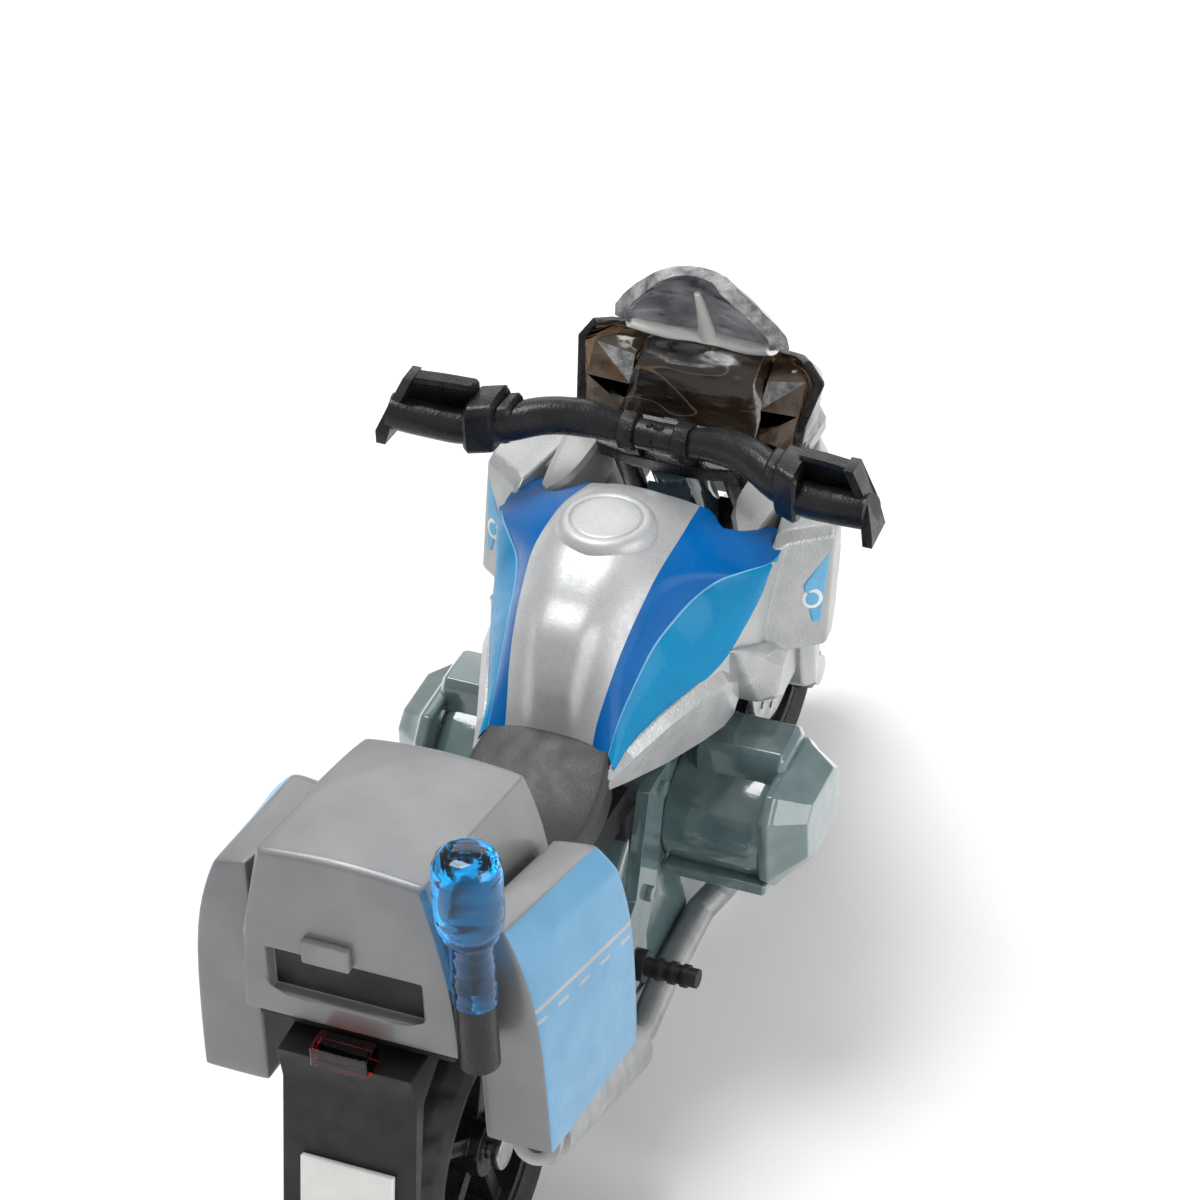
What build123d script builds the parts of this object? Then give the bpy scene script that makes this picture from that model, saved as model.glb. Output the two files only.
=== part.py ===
from build123d import *
import os
from math import cos, sin, radians

# A die-cast and plastic toy of an adventure police motorcycle, in millimetres.
# +X is forwards, +Y is the rider's left and +Z is up. The ground is Z = 0.

# Wheels
WHEEL_RADIUS = 10.0
FRONT_AXLE_X = 26.2
REAR_AXLE_X = -21.6
RIM_RADIUS = 7.3
RIM_WALL = 0.75
HUB_RADIUS = 1.9
AXLE_RADIUS = 0.7
RUNNING_GAP = 0.05
FRONT_TYRE_HALF = 2.0
REAR_TYRE_HALF = 2.7
SPOKES = 5

# Steering: the axis leans back from the front axle
RAKE_DEG = 25.5
FORK_HALF = 3.55
STANCHION_RADIUS = 0.7
SLIDER_RADIUS = 0.95
SLIDER_TOP = 10.8
LOWER_YOKE = 18.0
UPPER_YOKE = 27.0
YOKE_THICKNESS = 1.4
STEERING_PIN_RADIUS = 0.8
HEAD_RADIUS = 1.7
HEAD_LOW = 19.9
HEAD_HIGH = 26.5

# Handlebar
BAR_CENTRE = (12.0, 0.0, 37.3)
BAR_RADIUS = 0.8
CLAMP_Y = 1.74
GUARD_END_Y = 15.8

# Engine and frame
ENGINE_HALF = 4.4
FRAME_PLATE = 0.8
CYLINDER_END = 10.6
COVER_END = 13.4
TANK_BOTTOM = 26.6
RAIL_INNER = 3.0
RAIL_OUTER = 4.0
RAIL_BEND = (-14.0, 24.0)
RAIL_SLOPE = -0.2035
RAIL_REAR_X = -31.0

# Luggage
RACK_THICKNESS = 0.7
RACK_HALF = 6.5
BOX_FRONT_X = -19.3
BOX_REAR_X = -33.3
BOX_FRONT_TOP = 37.4
BOX_REAR_TOP = 40.3
BOX_HALF = 6.2
BEACON_X = -33.2
BEACON_Y = -7.5
BEACON_RADIUS = 1.9
BEACON_TOP = 43.7

# Side stand
STAND_PIVOT = (-4.1, 6.9)
STAND_PIN_RADIUS = 0.38
STAND_EYE = (5.75, 6.65)

LEAN = radians(RAKE_DEG)
FRONT_AXLE = Vector(FRONT_AXLE_X, 0, WHEEL_RADIUS)
REAR_AXLE = Vector(REAR_AXLE_X, 0, WHEEL_RADIUS)
SIDES = ((1, "left"), (-1, "right"))

os.makedirs("parts", exist_ok=True)


def save(piece, node):
    """Labels a finished piece and writes it as its own node."""
    piece.part.label = node
    export_step(piece.part, f"parts/{node}.step")


def side_slab(outline, y_low, y_high, mode=Mode.ADD):
    """Adds a flat-sided solid: an outline of (x, z) points from one Y to another."""
    with BuildSketch(Plane.XZ.offset(-y_low)) as side:
        with BuildLine():
            Polyline(*outline, close=True)
        make_face()
    extrude(side.sketch, amount=y_low - y_high, mode=mode)


def skin(rings, plane=Plane.YZ, mode=Mode.ADD):
    """Adds a faceted solid through outlines on parallel planes: (offset, points) pairs."""
    faces = []
    for offset_by, outline in rings:
        with BuildSketch(plane.offset(offset_by)) as ring:
            with BuildLine():
                Polyline(*outline, close=True)
            make_face()
        faces.append(ring.sketch)
    loft(faces, ruled=True, mode=mode)


def bar(start, end, radius, mode=Mode.ADD):
    """Adds a round bar from one point to another."""
    run = Vector(*end) - Vector(*start)
    with BuildSketch(Plane(origin=start, z_dir=run)) as section:
        Circle(radius)
    extrude(section.sketch, amount=run.length, mode=mode)


def bent_bar(points, radius):
    """Adds a round bar through several points, with a ball at each bend."""
    for start, end in zip(points, points[1:]):
        bar(start, end, radius)
    for bend in points[1:-1]:
        with Locations(bend):
            Sphere(radius)


def block(low, high, mode=Mode.ADD):
    """Adds a box between two opposite corners."""
    centre = tuple((a + b) / 2 for a, b in zip(low, high))
    with Locations(centre):
        Box(*[b - a for a, b in zip(low, high)], mode=mode)


def mirrored(half):
    """Closes an outline of (y, z) points for Y above 0 with its mirror image."""
    return list(half) + [(-y, z) for y, z in reversed(half) if y > 0]


def fork_plane(height):
    """The plane square to the steering axis, that far up it from the front axle."""
    up = Vector(-sin(LEAN), 0, cos(LEAN))
    return Plane(origin=FRONT_AXLE + up * height, x_dir=(cos(LEAN), 0, sin(LEAN)), z_dir=up)


def rail_top(x):
    """Height of the rear frame rails' upper edge behind their bend."""
    return RAIL_BEND[1] + RAIL_SLOPE * (x - RAIL_BEND[0])


# Wheels: a spoked rim, a tyre with a flat tread and brake discs, for each axle


def wheel_rim(axle, half_width):
    """Adds a hub, a rim ring and spokes that turn about an axle."""
    bore = AXLE_RADIUS + RUNNING_GAP
    with BuildSketch(Plane(origin=axle, x_dir=(1, 0, 0), z_dir=(0, 0, 1))) as section:
        with Locations(((bore + HUB_RADIUS) / 2, 0)):
            Rectangle(HUB_RADIUS - bore, 2 * half_width)
        with Locations((RIM_RADIUS - RIM_WALL / 2, 0)):
            Rectangle(RIM_WALL, 2 * half_width)
    revolve(section.sketch, axis=Axis(axle, (0, 1, 0)))
    spoke_length = RIM_RADIUS - RIM_WALL - HUB_RADIUS + 0.4
    with Locations(Plane(origin=axle, x_dir=(1, 0, 0), z_dir=(0, -1, 0))):
        with PolarLocations((RIM_RADIUS - RIM_WALL + HUB_RADIUS) / 2, SPOKES):
            Box(spoke_length, 1.0, 1.3 * half_width)


def tyre_ring(axle, half_width, tread_half):
    """Adds a tyre: bead, bulging shoulder and a flat tread that stands on the ground."""
    with BuildSketch(Plane(origin=axle, x_dir=(1, 0, 0), z_dir=(0, 0, 1))) as section:
        with BuildLine():
            bead = half_width * 0.8
            shoulder_r = RIM_RADIUS + 0.5 * (WHEEL_RADIUS - RIM_RADIUS)
            Polyline((WHEEL_RADIUS, -tread_half), (WHEEL_RADIUS, tread_half))
            ThreePointArc((WHEEL_RADIUS, tread_half), (shoulder_r + 0.45, half_width - 0.1),
                          (RIM_RADIUS, bead))
            Polyline((RIM_RADIUS, bead), (RIM_RADIUS, -bead))
            ThreePointArc((RIM_RADIUS, -bead), (shoulder_r + 0.45, 0.1 - half_width),
                          (WHEEL_RADIUS, -tread_half))
        make_face()
    revolve(section.sketch, axis=Axis(axle, (0, 1, 0)))


def disc_plate(axle, y_low, y_high, radius):
    """Adds a brake disc: a flat ring about an axle, with a ring of round holes."""
    with BuildSketch(Plane.XZ.offset(-y_low)) as ring:
        with Locations((axle.X, axle.Z)):
            Circle(radius)
            Circle(AXLE_RADIUS + RUNNING_GAP, mode=Mode.SUBTRACT)
            with PolarLocations(radius * 0.75, 10):
                Circle(0.28, mode=Mode.SUBTRACT)
    extrude(ring.sketch, amount=y_low - y_high)


for end_name, axle, tyre_half, rim_half, tread_half in (
    ("front", FRONT_AXLE, FRONT_TYRE_HALF, 1.6, 1.0),
    ("rear", REAR_AXLE, REAR_TYRE_HALF, 2.1, 1.5),
):
    with BuildPart() as rim:
        wheel_rim(axle, rim_half)
    save(rim, f"{end_name}_rim")
    with BuildPart() as tyre:
        tyre_ring(axle, tyre_half, tread_half)
    save(tyre, f"{end_name}_tyre")

with BuildPart() as front_discs:
    disc_plate(FRONT_AXLE, 1.6, 1.9, 4.2)
    disc_plate(FRONT_AXLE, -1.9, -1.6, 4.2)
save(front_discs, "front_brake_discs")

with BuildPart() as rear_disc:
    disc_plate(REAR_AXLE, 2.1, 2.4, 3.4)
save(rear_disc, "rear_brake_disc")

with BuildPart() as front_axle:
    bar((FRONT_AXLE_X, -4.6, WHEEL_RADIUS), (FRONT_AXLE_X, 4.6, WHEEL_RADIUS), AXLE_RADIUS)
    for side, _ in SIDES:
        bar((FRONT_AXLE_X, side * 4.6, WHEEL_RADIUS), (FRONT_AXLE_X, side * 5.0, WHEEL_RADIUS), 1.0)
save(front_axle, "front_axle")

with BuildPart() as rear_axle:
    bar((REAR_AXLE_X, -2.6, WHEEL_RADIUS), (REAR_AXLE_X, 5.2, WHEEL_RADIUS), AXLE_RADIUS)
    bar((REAR_AXLE_X, -3.1, WHEEL_RADIUS), (REAR_AXLE_X, -2.6, WHEEL_RADIUS), 1.2)
save(rear_axle, "rear_axle")


# Front fork: sliders, stanchions, yokes, fender and the steering pin

for side, side_name in SIDES:
    with BuildPart() as slider:
        with BuildSketch(fork_plane(-1.5)) as section:
            with Locations((0, side * FORK_HALF)):
                Circle(SLIDER_RADIUS)
        extrude(section.sketch, amount=SLIDER_TOP + 1.5)
        bar((FRONT_AXLE_X, side * 2.6, WHEEL_RADIUS), (FRONT_AXLE_X, side * 4.6, WHEEL_RADIUS), 1.3)
        bar(
            (FRONT_AXLE_X, side * 2.0, WHEEL_RADIUS),
            (FRONT_AXLE_X, side * 5.0, WHEEL_RADIUS),
            AXLE_RADIUS,
            mode=Mode.SUBTRACT,
        )
    save(slider, f"fork_slider_{side_name}")

with BuildPart() as stanchions:
    with BuildSketch(fork_plane(SLIDER_TOP)) as section:
        with Locations((0, FORK_HALF), (0, -FORK_HALF)):
            Circle(STANCHION_RADIUS)
    extrude(section.sketch, amount=UPPER_YOKE + YOKE_THICKNESS - SLIDER_TOP)
save(stanchions, "fork_stanchions")

for yoke_name, height in (("lower", LOWER_YOKE), ("upper", UPPER_YOKE)):
    with BuildPart() as yoke:
        with BuildSketch(fork_plane(height)) as plate:
            with BuildLine():
                Polyline((-1.5, 2.2), (-1.1, 4.5), (1.1, 4.5), (1.5, 2.2), (1.5, -2.2), (1.1, -4.5),
                         (-1.1, -4.5), (-1.5, -2.2), close=True)
            make_face()
            with Locations((0, FORK_HALF), (0, -FORK_HALF)):
                Circle(STANCHION_RADIUS, mode=Mode.SUBTRACT)
            Circle(STEERING_PIN_RADIUS, mode=Mode.SUBTRACT)
        extrude(plate.sketch, amount=YOKE_THICKNESS)
    save(yoke, f"{yoke_name}_yoke")

with BuildPart() as steering_pin:
    with BuildSketch(fork_plane(LOWER_YOKE)) as section:
        Circle(STEERING_PIN_RADIUS)
    extrude(section.sketch, amount=UPPER_YOKE + YOKE_THICKNESS - LOWER_YOKE)
save(steering_pin, "steering_pin")

with BuildPart() as front_fender:
    fender_outer, fender_inner, fender_half = 10.95, 10.4, 2.5
    with BuildSketch(Plane.XZ.offset(fender_half)) as arch:
        with BuildLine():
            CenterArc((FRONT_AXLE_X, WHEEL_RADIUS), fender_outer, 30, 125)
            CenterArc((FRONT_AXLE_X, WHEEL_RADIUS), fender_inner, 30, 125)
            for angle in (30, 155):
                turn = radians(angle)
                Line(
                    (FRONT_AXLE_X + fender_inner * cos(turn), WHEEL_RADIUS + fender_inner * sin(turn)),
                    (FRONT_AXLE_X + fender_outer * cos(turn), WHEEL_RADIUS + fender_outer * sin(turn)),
                )
        make_face()
    extrude(arch.sketch, amount=-2 * fender_half)
    with BuildSketch(fork_plane(SLIDER_TOP)) as brace:
        Rectangle(2.6, 9.0)
        with Locations((0, FORK_HALF), (0, -FORK_HALF)):
            Circle(STANCHION_RADIUS, mode=Mode.SUBTRACT)
    extrude(brace.sketch, amount=0.8)
save(front_fender, "front_fender")


# Handlebar: a bent bar with clamps, collars, levers and looped hand guards in one moulding

with BuildPart() as handlebar:
    half_bar = [BAR_CENTRE, (12.0, 2.2, 37.4), (10.6, 6.2, 38.2), (8.4, 10.0, 38.0), (7.0, 15.2, 38.3)]
    bent_bar(half_bar, BAR_RADIUS)
    guard_path = [(8.4, 10.4, 38.0), (9.6, 10.9, 41.0), (8.6, 14.6, 41.2), (7.0, 15.2, 38.3)]
    bent_bar(guard_path, 0.5)
    bar((8.7, 9.5, 38.05), (7.9, 11.0, 38.0), 1.15)
    with BuildSketch(fork_plane(UPPER_YOKE + YOKE_THICKNESS)) as clamp:
        with Locations((-0.65, CLAMP_Y)):
            Rectangle(1.7, 1.0)
    extrude(clamp.sketch, amount=3.1)
    guard_rings = (
        (-14.6, [(6.9, 37.4), (9.0, 38.2), (9.6, 41.4), (7.8, 41.9)]),
        (-GUARD_END_Y, [(5.9, 37.2), (7.2, 37.2), (8.6, 40.6), (7.4, 40.6)]),
    )
    skin(guard_rings, plane=Plane.XZ)
    mirror(about=Plane.XZ)
save(handlebar, "handlebar")


# Engine: crankcase, cylinders with intake blocks, valve covers and the sump guard

with BuildPart() as engine_block:
    side_slab(
        [(11.0, 9.0), (12.2, 12.5), (11.0, 17.5), (8.2, 20.6), (-4.2, 20.6), (-9.0, 16.5), (-9.0, 9.5),
         (-6.5, 6.6), (8.5, 6.6)],
        -ENGINE_HALF,
        ENGINE_HALF,
    )
save(engine_block, "engine_block")

COVER_INNER = [(0.6, 14.2), (6.8, 14.2), (8.0, 15.6), (8.0, 20.0), (6.8, 21.4), (0.6, 21.4),
               (-0.6, 20.0), (-0.6, 15.6)]
COVER_OUTER = [(2.2, 16.0), (5.8, 16.0), (6.8, 16.8), (6.8, 19.4), (5.8, 20.2), (2.2, 20.2),
               (1.2, 19.4), (1.2, 16.8)]

for side, side_name in SIDES:
    near, middle, far = side * ENGINE_HALF, side * 5.6, side * CYLINDER_END
    with BuildPart() as cylinder:
        with BuildSketch(Plane.XZ.offset(-near)) as neck:
            with Locations((3.7, 17.8)):
                RectangleRounded(6.6, 5.4, 2.0)
        extrude(neck.sketch, amount=near - middle)
        with BuildSketch(Plane.XZ.offset(-middle)) as barrel:
            with Locations((3.7, 17.8)):
                RectangleRounded(7.8, 6.4, 2.4)
        extrude(barrel.sketch, amount=middle - far)
        block((0.9, min(middle, far), 20.0), (6.9, max(middle, far), 22.4))
    save(cylinder, f"cylinder_{side_name}")

    with BuildPart() as valve_cover:
        skin(((-far, COVER_INNER), (-side * COVER_END, COVER_OUTER)), plane=Plane.XZ)
    save(valve_cover, f"valve_cover_{side_name}")

with BuildPart() as sump_guard:
    side_slab(
        [(12.2, 12.5), (11.0, 9.0), (8.5, 6.6), (-6.5, 6.6), (-7.0, 5.6), (8.9, 5.6), (12.0, 8.4),
         (13.4, 12.2)],
        -3.4,
        3.4,
    )
save(sump_guard, "sump_guard")


# Frame: steering head with its spine, side plates, rear rails and foot pegs

with BuildPart() as steering_head:
    with BuildSketch(fork_plane(HEAD_LOW)) as tube:
        Circle(HEAD_RADIUS)
    extrude(tube.sketch, amount=HEAD_HIGH - HEAD_LOW)
    side_slab(
        [(13.7, 32.6), (15.9, 28.2), (13.2, 23.6), (8.2, 20.6), (1.0, 20.6), (1.0, 22.4), (7.5, 24.0),
         (10.6, 26.3)],
        -1.4,
        1.4,
    )
    with BuildSketch(fork_plane(HEAD_LOW)) as bore:
        Circle(STEERING_PIN_RADIUS + RUNNING_GAP)
    extrude(bore.sketch, amount=HEAD_HIGH - HEAD_LOW, mode=Mode.SUBTRACT)
save(steering_head, "steering_head")

PLATE_OUTLINE = [(0.4, 23.2), (-1.2, 20.8), (-3.0, 15.2), (-4.6, 13.2), (-4.6, 10.2), (-8.8, 10.2),
                 (-8.8, 15.4),
                 (-6.0, 16.8), (-3.4, 23.2)]
SCREW_PLACES = ((-1.6, 22.2), (-4.2, 16.0), (-7.6, 14.2), (-8.0, 11.0))
PEG_PLACE = (-6.4, 12.2)

with BuildPart() as frame_plates:
    side_slab(PLATE_OUTLINE, ENGINE_HALF, ENGINE_HALF + FRAME_PLATE)
    mirror(about=Plane.XZ)
save(frame_plates, "frame_plates")

with BuildPart() as footpegs:
    peg_x, peg_z = PEG_PLACE
    bar((peg_x, ENGINE_HALF + FRAME_PLATE, peg_z), (peg_x, 5.9, peg_z), 1.0)
    bar((peg_x, 5.9, peg_z), (peg_x, 9.2, peg_z), 0.6)
    for groove in (6.6, 7.4, 8.2):
        bar((peg_x, groove, peg_z), (peg_x, groove + 0.4, peg_z), 0.72)
    mirror(about=Plane.XZ)
save(footpegs, "footpegs")

with BuildPart() as frame_screws:
    for side, _ in SIDES:
        outer = side * (ENGINE_HALF + FRAME_PLATE)
        for x, z in SCREW_PLACES:
            bar((x, outer, z), (x, outer + side * 0.35, z), 0.5)
save(frame_screws, "frame_screws")

with BuildPart() as rear_subframe:
    tail_z = rail_top(RAIL_REAR_X)
    rail_outline = [(-3.6, 21.2), (-3.6, 23.5), RAIL_BEND, (RAIL_REAR_X, tail_z), (RAIL_REAR_X, tail_z - 1.5),
                    (-14.5, 22.4)]
    side_slab(rail_outline, RAIL_INNER, RAIL_OUTER)
    mirror(about=Plane.XZ)
    block((-9.6, -RAIL_INNER, 21.9), (-7.6, RAIL_INNER, 23.1))
    block((-20.0, -RAIL_INNER, 23.6), (-18.0, RAIL_INNER, 24.6))
    block((-5.2, RAIL_INNER, 20.6), (-3.6, ENGINE_HALF, 22.4))
    block((-5.2, -ENGINE_HALF, 20.6), (-3.6, -RAIL_INNER, 22.4))
save(rear_subframe, "rear_subframe")


# Body: tank shell, side covers, wings, intakes, nose, beak and headlight

TANK_HALVES = (
    (-6.0, [(0, 29.4), (2.7, 29.3), (3.8, 28.7), (4.15, 27.4), (4.1, TANK_BOTTOM)]),
    (-4.5, [(0, 31.9), (3.05, 31.0), (3.9, 29.7), (4.7, 27.4), (4.6, TANK_BOTTOM)]),
    (-1.7, [(0, 34.5), (3.45, 33.2), (4.4, 31.3), (5.7, 27.8), (5.6, TANK_BOTTOM)]),
    (1.0, [(0, 36.3), (3.8, 34.9), (4.95, 32.3), (6.7, 28.4), (6.4, TANK_BOTTOM)]),
    (3.7, [(0, 37.0), (3.95, 35.4), (5.8, 33.2), (7.6, 29.3), (7.2, TANK_BOTTOM)]),
    (6.8, [(0, 36.6), (3.9, 35.2), (7.7, 33.0), (8.5, 31.0), (7.8, TANK_BOTTOM)]),
    (9.9, [(0, 34.9), (3.5, 34.5), (8.5, 32.6), (8.7, 32.0), (8.0, TANK_BOTTOM)]),
)
with BuildPart() as tank_shell:
    skin([(x, mirrored(half)) for x, half in TANK_HALVES])
    for side, _ in SIDES:
        horn_back = [(side * 5.2, 27.0), (side * 8.0, 27.0), (side * 8.6, 31.9), (side * 5.2, 33.4)]
        horn_tip = [(side * 6.6, 28.0), (side * 7.8, 28.0), (side * 8.3, 31.2), (side * 6.6, 31.9)]
        skin(((9.9, horn_back), (12.4, horn_tip)))
    with BuildSketch(Plane.XY.offset(36.0)) as cap:
        with Locations((3.9, 0)):
            Circle(2.3)
    extrude(cap.sketch, amount=1.3)
    block((-2.0, -3.1, TANK_BOTTOM), (9.0, 3.1, 31.0), mode=Mode.SUBTRACT)
save(tank_shell, "tank_shell")

WING_RINGS = (
    (3.6, 8.2, 8.7, 27.4, 30.4),
    (8.0, 8.9, 10.4, 25.6, 32.0),
    (11.0, 8.95, 11.3, 25.0, 32.6),
    (13.5, 8.3, 11.2, 25.0, 33.0),
    (17.5, 6.3, 9.4, 25.5, 33.5),
    (20.5, 4.6, 8.3, 26.2, 33.5),
    (22.5, 4.6, 6.8, 26.8, 33.5),
)
for side, side_name in SIDES:
    with BuildPart() as wing:
        rings = []
        for x, y_in, y_out, z_low, z_high in WING_RINGS:
            z_mid = 0.55 * z_low + 0.45 * z_high
            y_shoulder = 0.4 * y_in + 0.6 * y_out
            ring = [(y_in, z_low), (y_shoulder, z_low), (y_out, z_mid - 1.0), (y_out, z_mid + 1.4),
                    (y_shoulder, z_high), (y_in, z_high)]
            rings.append((x, [(side * y, z) for y, z in ring]))
        skin(rings)
    save(wing, f"wing_{side_name}")

    with BuildPart() as side_cover:
        back = [(4.1, 24.6), (4.6, 24.8), (4.8, 25.8), (4.6, TANK_BOTTOM), (4.1, TANK_BOTTOM)]
        front = [(4.1, 23.4), (7.0, 23.6), (7.7, 25.2), (7.2, TANK_BOTTOM), (4.1, TANK_BOTTOM)]
        skin([(x, [(side * y, z) for y, z in ring]) for x, ring in ((-6.0, back), (5.8, front))])
    save(side_cover, f"side_cover_{side_name}")

    with BuildPart() as radiator_duct:
        duct_back = [(7.3, 23.0), (8.9, 23.4), (9.4, 24.6), (8.8, 25.3), (7.3, 25.3)]
        duct_front = [(6.2, 21.4), (7.6, 21.6), (8.4, 23.4), (8.2, 24.9), (6.2, 24.9)]
        skin([(x, [(side * y, z) for y, z in ring]) for x, ring in ((6.6, duct_back), (15.5, duct_front))])
    save(radiator_duct, f"radiator_duct_{side_name}")

    with BuildPart() as intake:
        intake_back = [(5.6, 29.6), (8.1, 29.6), (8.1, 33.6), (5.6, 34.2)]
        intake_front = [(5.4, 30.2), (6.2, 30.2), (6.2, 33.2), (5.4, 33.4)]
        skin([(x, [(side * y, z) for y, z in ring]) for x, ring in ((12.6, intake_back),
                                                                    (16.6, intake_front))])
    save(intake, f"intake_{side_name}")

with BuildPart() as headlight_housing:
    block((20.8, -4.6, 28.4), (24.4, 4.6, 33.5))
save(headlight_housing, "headlight_housing")

with BuildPart() as headlight_lens:
    lens_back = [(-3.6, 29.4), (3.6, 29.4), (3.9, 32.6), (2.4, 33.2), (-2.4, 33.2), (-3.9, 32.6)]
    lens_front = [(-2.4, 30.0), (2.4, 30.0), (2.8, 32.0), (1.8, 32.6), (-1.8, 32.6), (-2.8, 32.0)]
    skin(((24.4, lens_back), (25.6, lens_front)))
save(headlight_lens, "headlight_lens")

with BuildPart() as nose_panel:
    with BuildSketch(Plane.XY.offset(33.5)) as panel:
        with BuildLine():
            Polyline((18.3, -7.4), (21.2, -7.4), (25.2, -4.4), (26.2, -1.6), (26.2, 1.6), (25.2, 4.4),
                     (21.2, 7.4),
                     (18.3, 7.4), close=True)
        make_face()
    extrude(panel.sketch, amount=0.8)
save(nose_panel, "nose_panel")

with BuildPart() as beak:
    beak_root = [(-3.8, 26.0), (3.8, 26.0), (4.2, 28.4), (-4.2, 28.4)]
    beak_middle = [(-2.8, 26.2), (2.8, 26.2), (3.2, 28.4), (-3.2, 28.4)]
    beak_tip = [(-1.0, 26.9), (1.0, 26.9), (1.3, 27.7), (-1.3, 27.7)]
    skin(((22.3, beak_root), (25.6, beak_middle), (31.2, beak_tip)))
save(beak, "beak")

with BuildPart() as instrument_panel:
    side_slab([(17.6, 34.3), (19.6, 34.3), (19.6, 38.8), (17.8, 38.4)], -3.0, 3.0)
save(instrument_panel, "instrument_panel")


def screen_ring(*outer):
    """A closed outline round a curved wall: outer (x, y) points from its rear edge to its front."""
    wall = 0.5
    inner = [(x - wall * 0.9, max(y - wall, 0)) for x, y in outer]
    inner[0] = (outer[0][0], outer[0][1] - wall)
    left = list(outer)
    right = [(x, -y) for x, y in reversed(outer[:-1])]
    inner_right = [(x, -y) for x, y in inner[:-1]]
    return left + right + inner_right + [inner[-1]] + list(reversed(inner[:-1]))


with BuildPart() as windscreen:
    skin(
        (
            (34.3, screen_ring((18.4, 7.3), (21.0, 7.2), (24.8, 4.2), (25.8, 0))),
            (38.2, screen_ring((19.3, 8.1), (21.4, 7.2), (23.8, 3.8), (24.4, 0))),
            (39.8, screen_ring((19.4, 7.1), (21.0, 6.2), (22.8, 3.4), (23.3, 0))),
            (41.0, screen_ring((19.3, 5.5), (20.4, 5.0), (21.8, 3.0), (22.2, 0))),
            (44.5, screen_ring((18.6, 2.7), (19.2, 2.5), (19.9, 1.6), (20.2, 0))),
        ),
        plane=Plane.XY,
    )
save(windscreen, "windscreen")


# Seat, rack, radio box and panniers

with BuildPart() as seat:
    seat_rear = BOX_FRONT_X + 0.2
    side_slab(
        [(-6.1, 28.1), (-8.0, 27.0), (-11.0, 25.9), (-14.0, 26.2), (-17.0, 27.3), (seat_rear, 28.0),
         (seat_rear, rail_top(seat_rear)), RAIL_BEND, (-6.1, 23.66)],
        -4.4,
        4.4,
    )
save(seat, "seat")

with BuildPart() as luggage_rack:
    rack_front, rack_rear = -19.2, -32.8
    side_slab(
        [(rack_front, rail_top(rack_front)), (rack_rear, rail_top(rack_rear)),
         (rack_rear, rail_top(rack_rear) + RACK_THICKNESS),
         (rack_front, rail_top(rack_front) + RACK_THICKNESS)],
        -BOX_HALF + 0.4,
        BOX_HALF - 0.4,
    )
    side_slab(
        [(-21.5, rail_top(-21.5)), (-29.5, rail_top(-29.5)), (-29.5, rail_top(-29.5) + RACK_THICKNESS),
         (-21.5, rail_top(-21.5) + RACK_THICKNESS)],
        -RACK_HALF,
        RACK_HALF,
    )
save(luggage_rack, "luggage_rack")


def box_ring(x, top_z, shoulder_z, top_half):
    """The radio box's outline across the bike at one X, standing on the sloping rack."""
    floor_z = rail_top(x) + RACK_THICKNESS
    return x, mirrored([(0, top_z + 0.35), (top_half, top_z), (BOX_HALF - 0.2, shoulder_z),
                        (BOX_HALF, floor_z)])


with BuildPart() as radio_box:
    skin((box_ring(BOX_FRONT_X, BOX_FRONT_TOP, 33.2, 4.9), box_ring(BOX_REAR_X, BOX_REAR_TOP, 33.9, 4.95)))
    block((BOX_REAR_X, -4.4, 30.4), (BOX_REAR_X + 0.8, 4.8, 33.4), mode=Mode.SUBTRACT)
save(radio_box, "radio_box")

with BuildPart() as box_latch:
    block((BOX_REAR_X - 0.45, -0.4, 33.4), (BOX_REAR_X, 2.4, 34.9))
save(box_latch, "box_latch")

for side, side_name in SIDES:
    with BuildPart() as pannier:
        front = [(RACK_HALF, 20.0), (RACK_HALF, 33.6), (9.2, 34.0), (10.5, 32.6), (11.3, 28.8), (11.2, 20.0)]
        rear = [(RACK_HALF, 21.0), (RACK_HALF, 37.3), (8.6, 36.8), (9.3, 35.0), (10.4, 31.0), (10.6, 21.0)]
        skin([(x, [(side * y, z) for y, z in ring]) for x, ring in ((-19.8, front), (-31.3, rear))])
    save(pannier, f"pannier_{side_name}")


# Blue beacon on its pole, tail light, rear fender and number plate

with BuildPart() as beacon_pole:
    block((-33.0, BEACON_Y, 28.9), (-31.6, -BOX_HALF, 29.7))
    bar((BEACON_X, BEACON_Y, 28.9), (BEACON_X, BEACON_Y, 33.4), 1.15)
save(beacon_pole, "beacon_pole")

with BuildPart() as beacon_lens:
    bar((BEACON_X, BEACON_Y, 33.4), (BEACON_X, BEACON_Y, 38.4), 1.2)
    with BuildSketch(Plane.XY.offset(38.2)) as head:
        with Locations((BEACON_X, BEACON_Y)):
            Circle(BEACON_RADIUS)
    extrude(head.sketch, amount=BEACON_TOP - 38.2)
    fillet(beacon_lens.edges().filter_by(GeomType.CIRCLE).sort_by(Axis.Z)[-1], radius=0.7)
save(beacon_lens, "beacon_lens")

with BuildPart() as rear_fender:
    fender_top = rail_top(RAIL_REAR_X)
    side_slab(
        [(RAIL_REAR_X, fender_top - 0.1), (RAIL_REAR_X, fender_top - 1.5), (-33.2, 24.6),
         (-35.2, 15.6), (-35.8, 15.7),
         (-34.2, 25.0), (-34.6, fender_top - 0.1)],
        -RAIL_OUTER,
        RAIL_OUTER,
    )
save(rear_fender, "rear_fender")

with BuildPart() as number_plate:
    plate_outline = [(-35.0, 20.35), (-35.8, 15.7), (-36.2, 15.8), (-35.4, 20.45)]
    side_slab(plate_outline, -2.8, 2.8)
save(number_plate, "number_plate")

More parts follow.
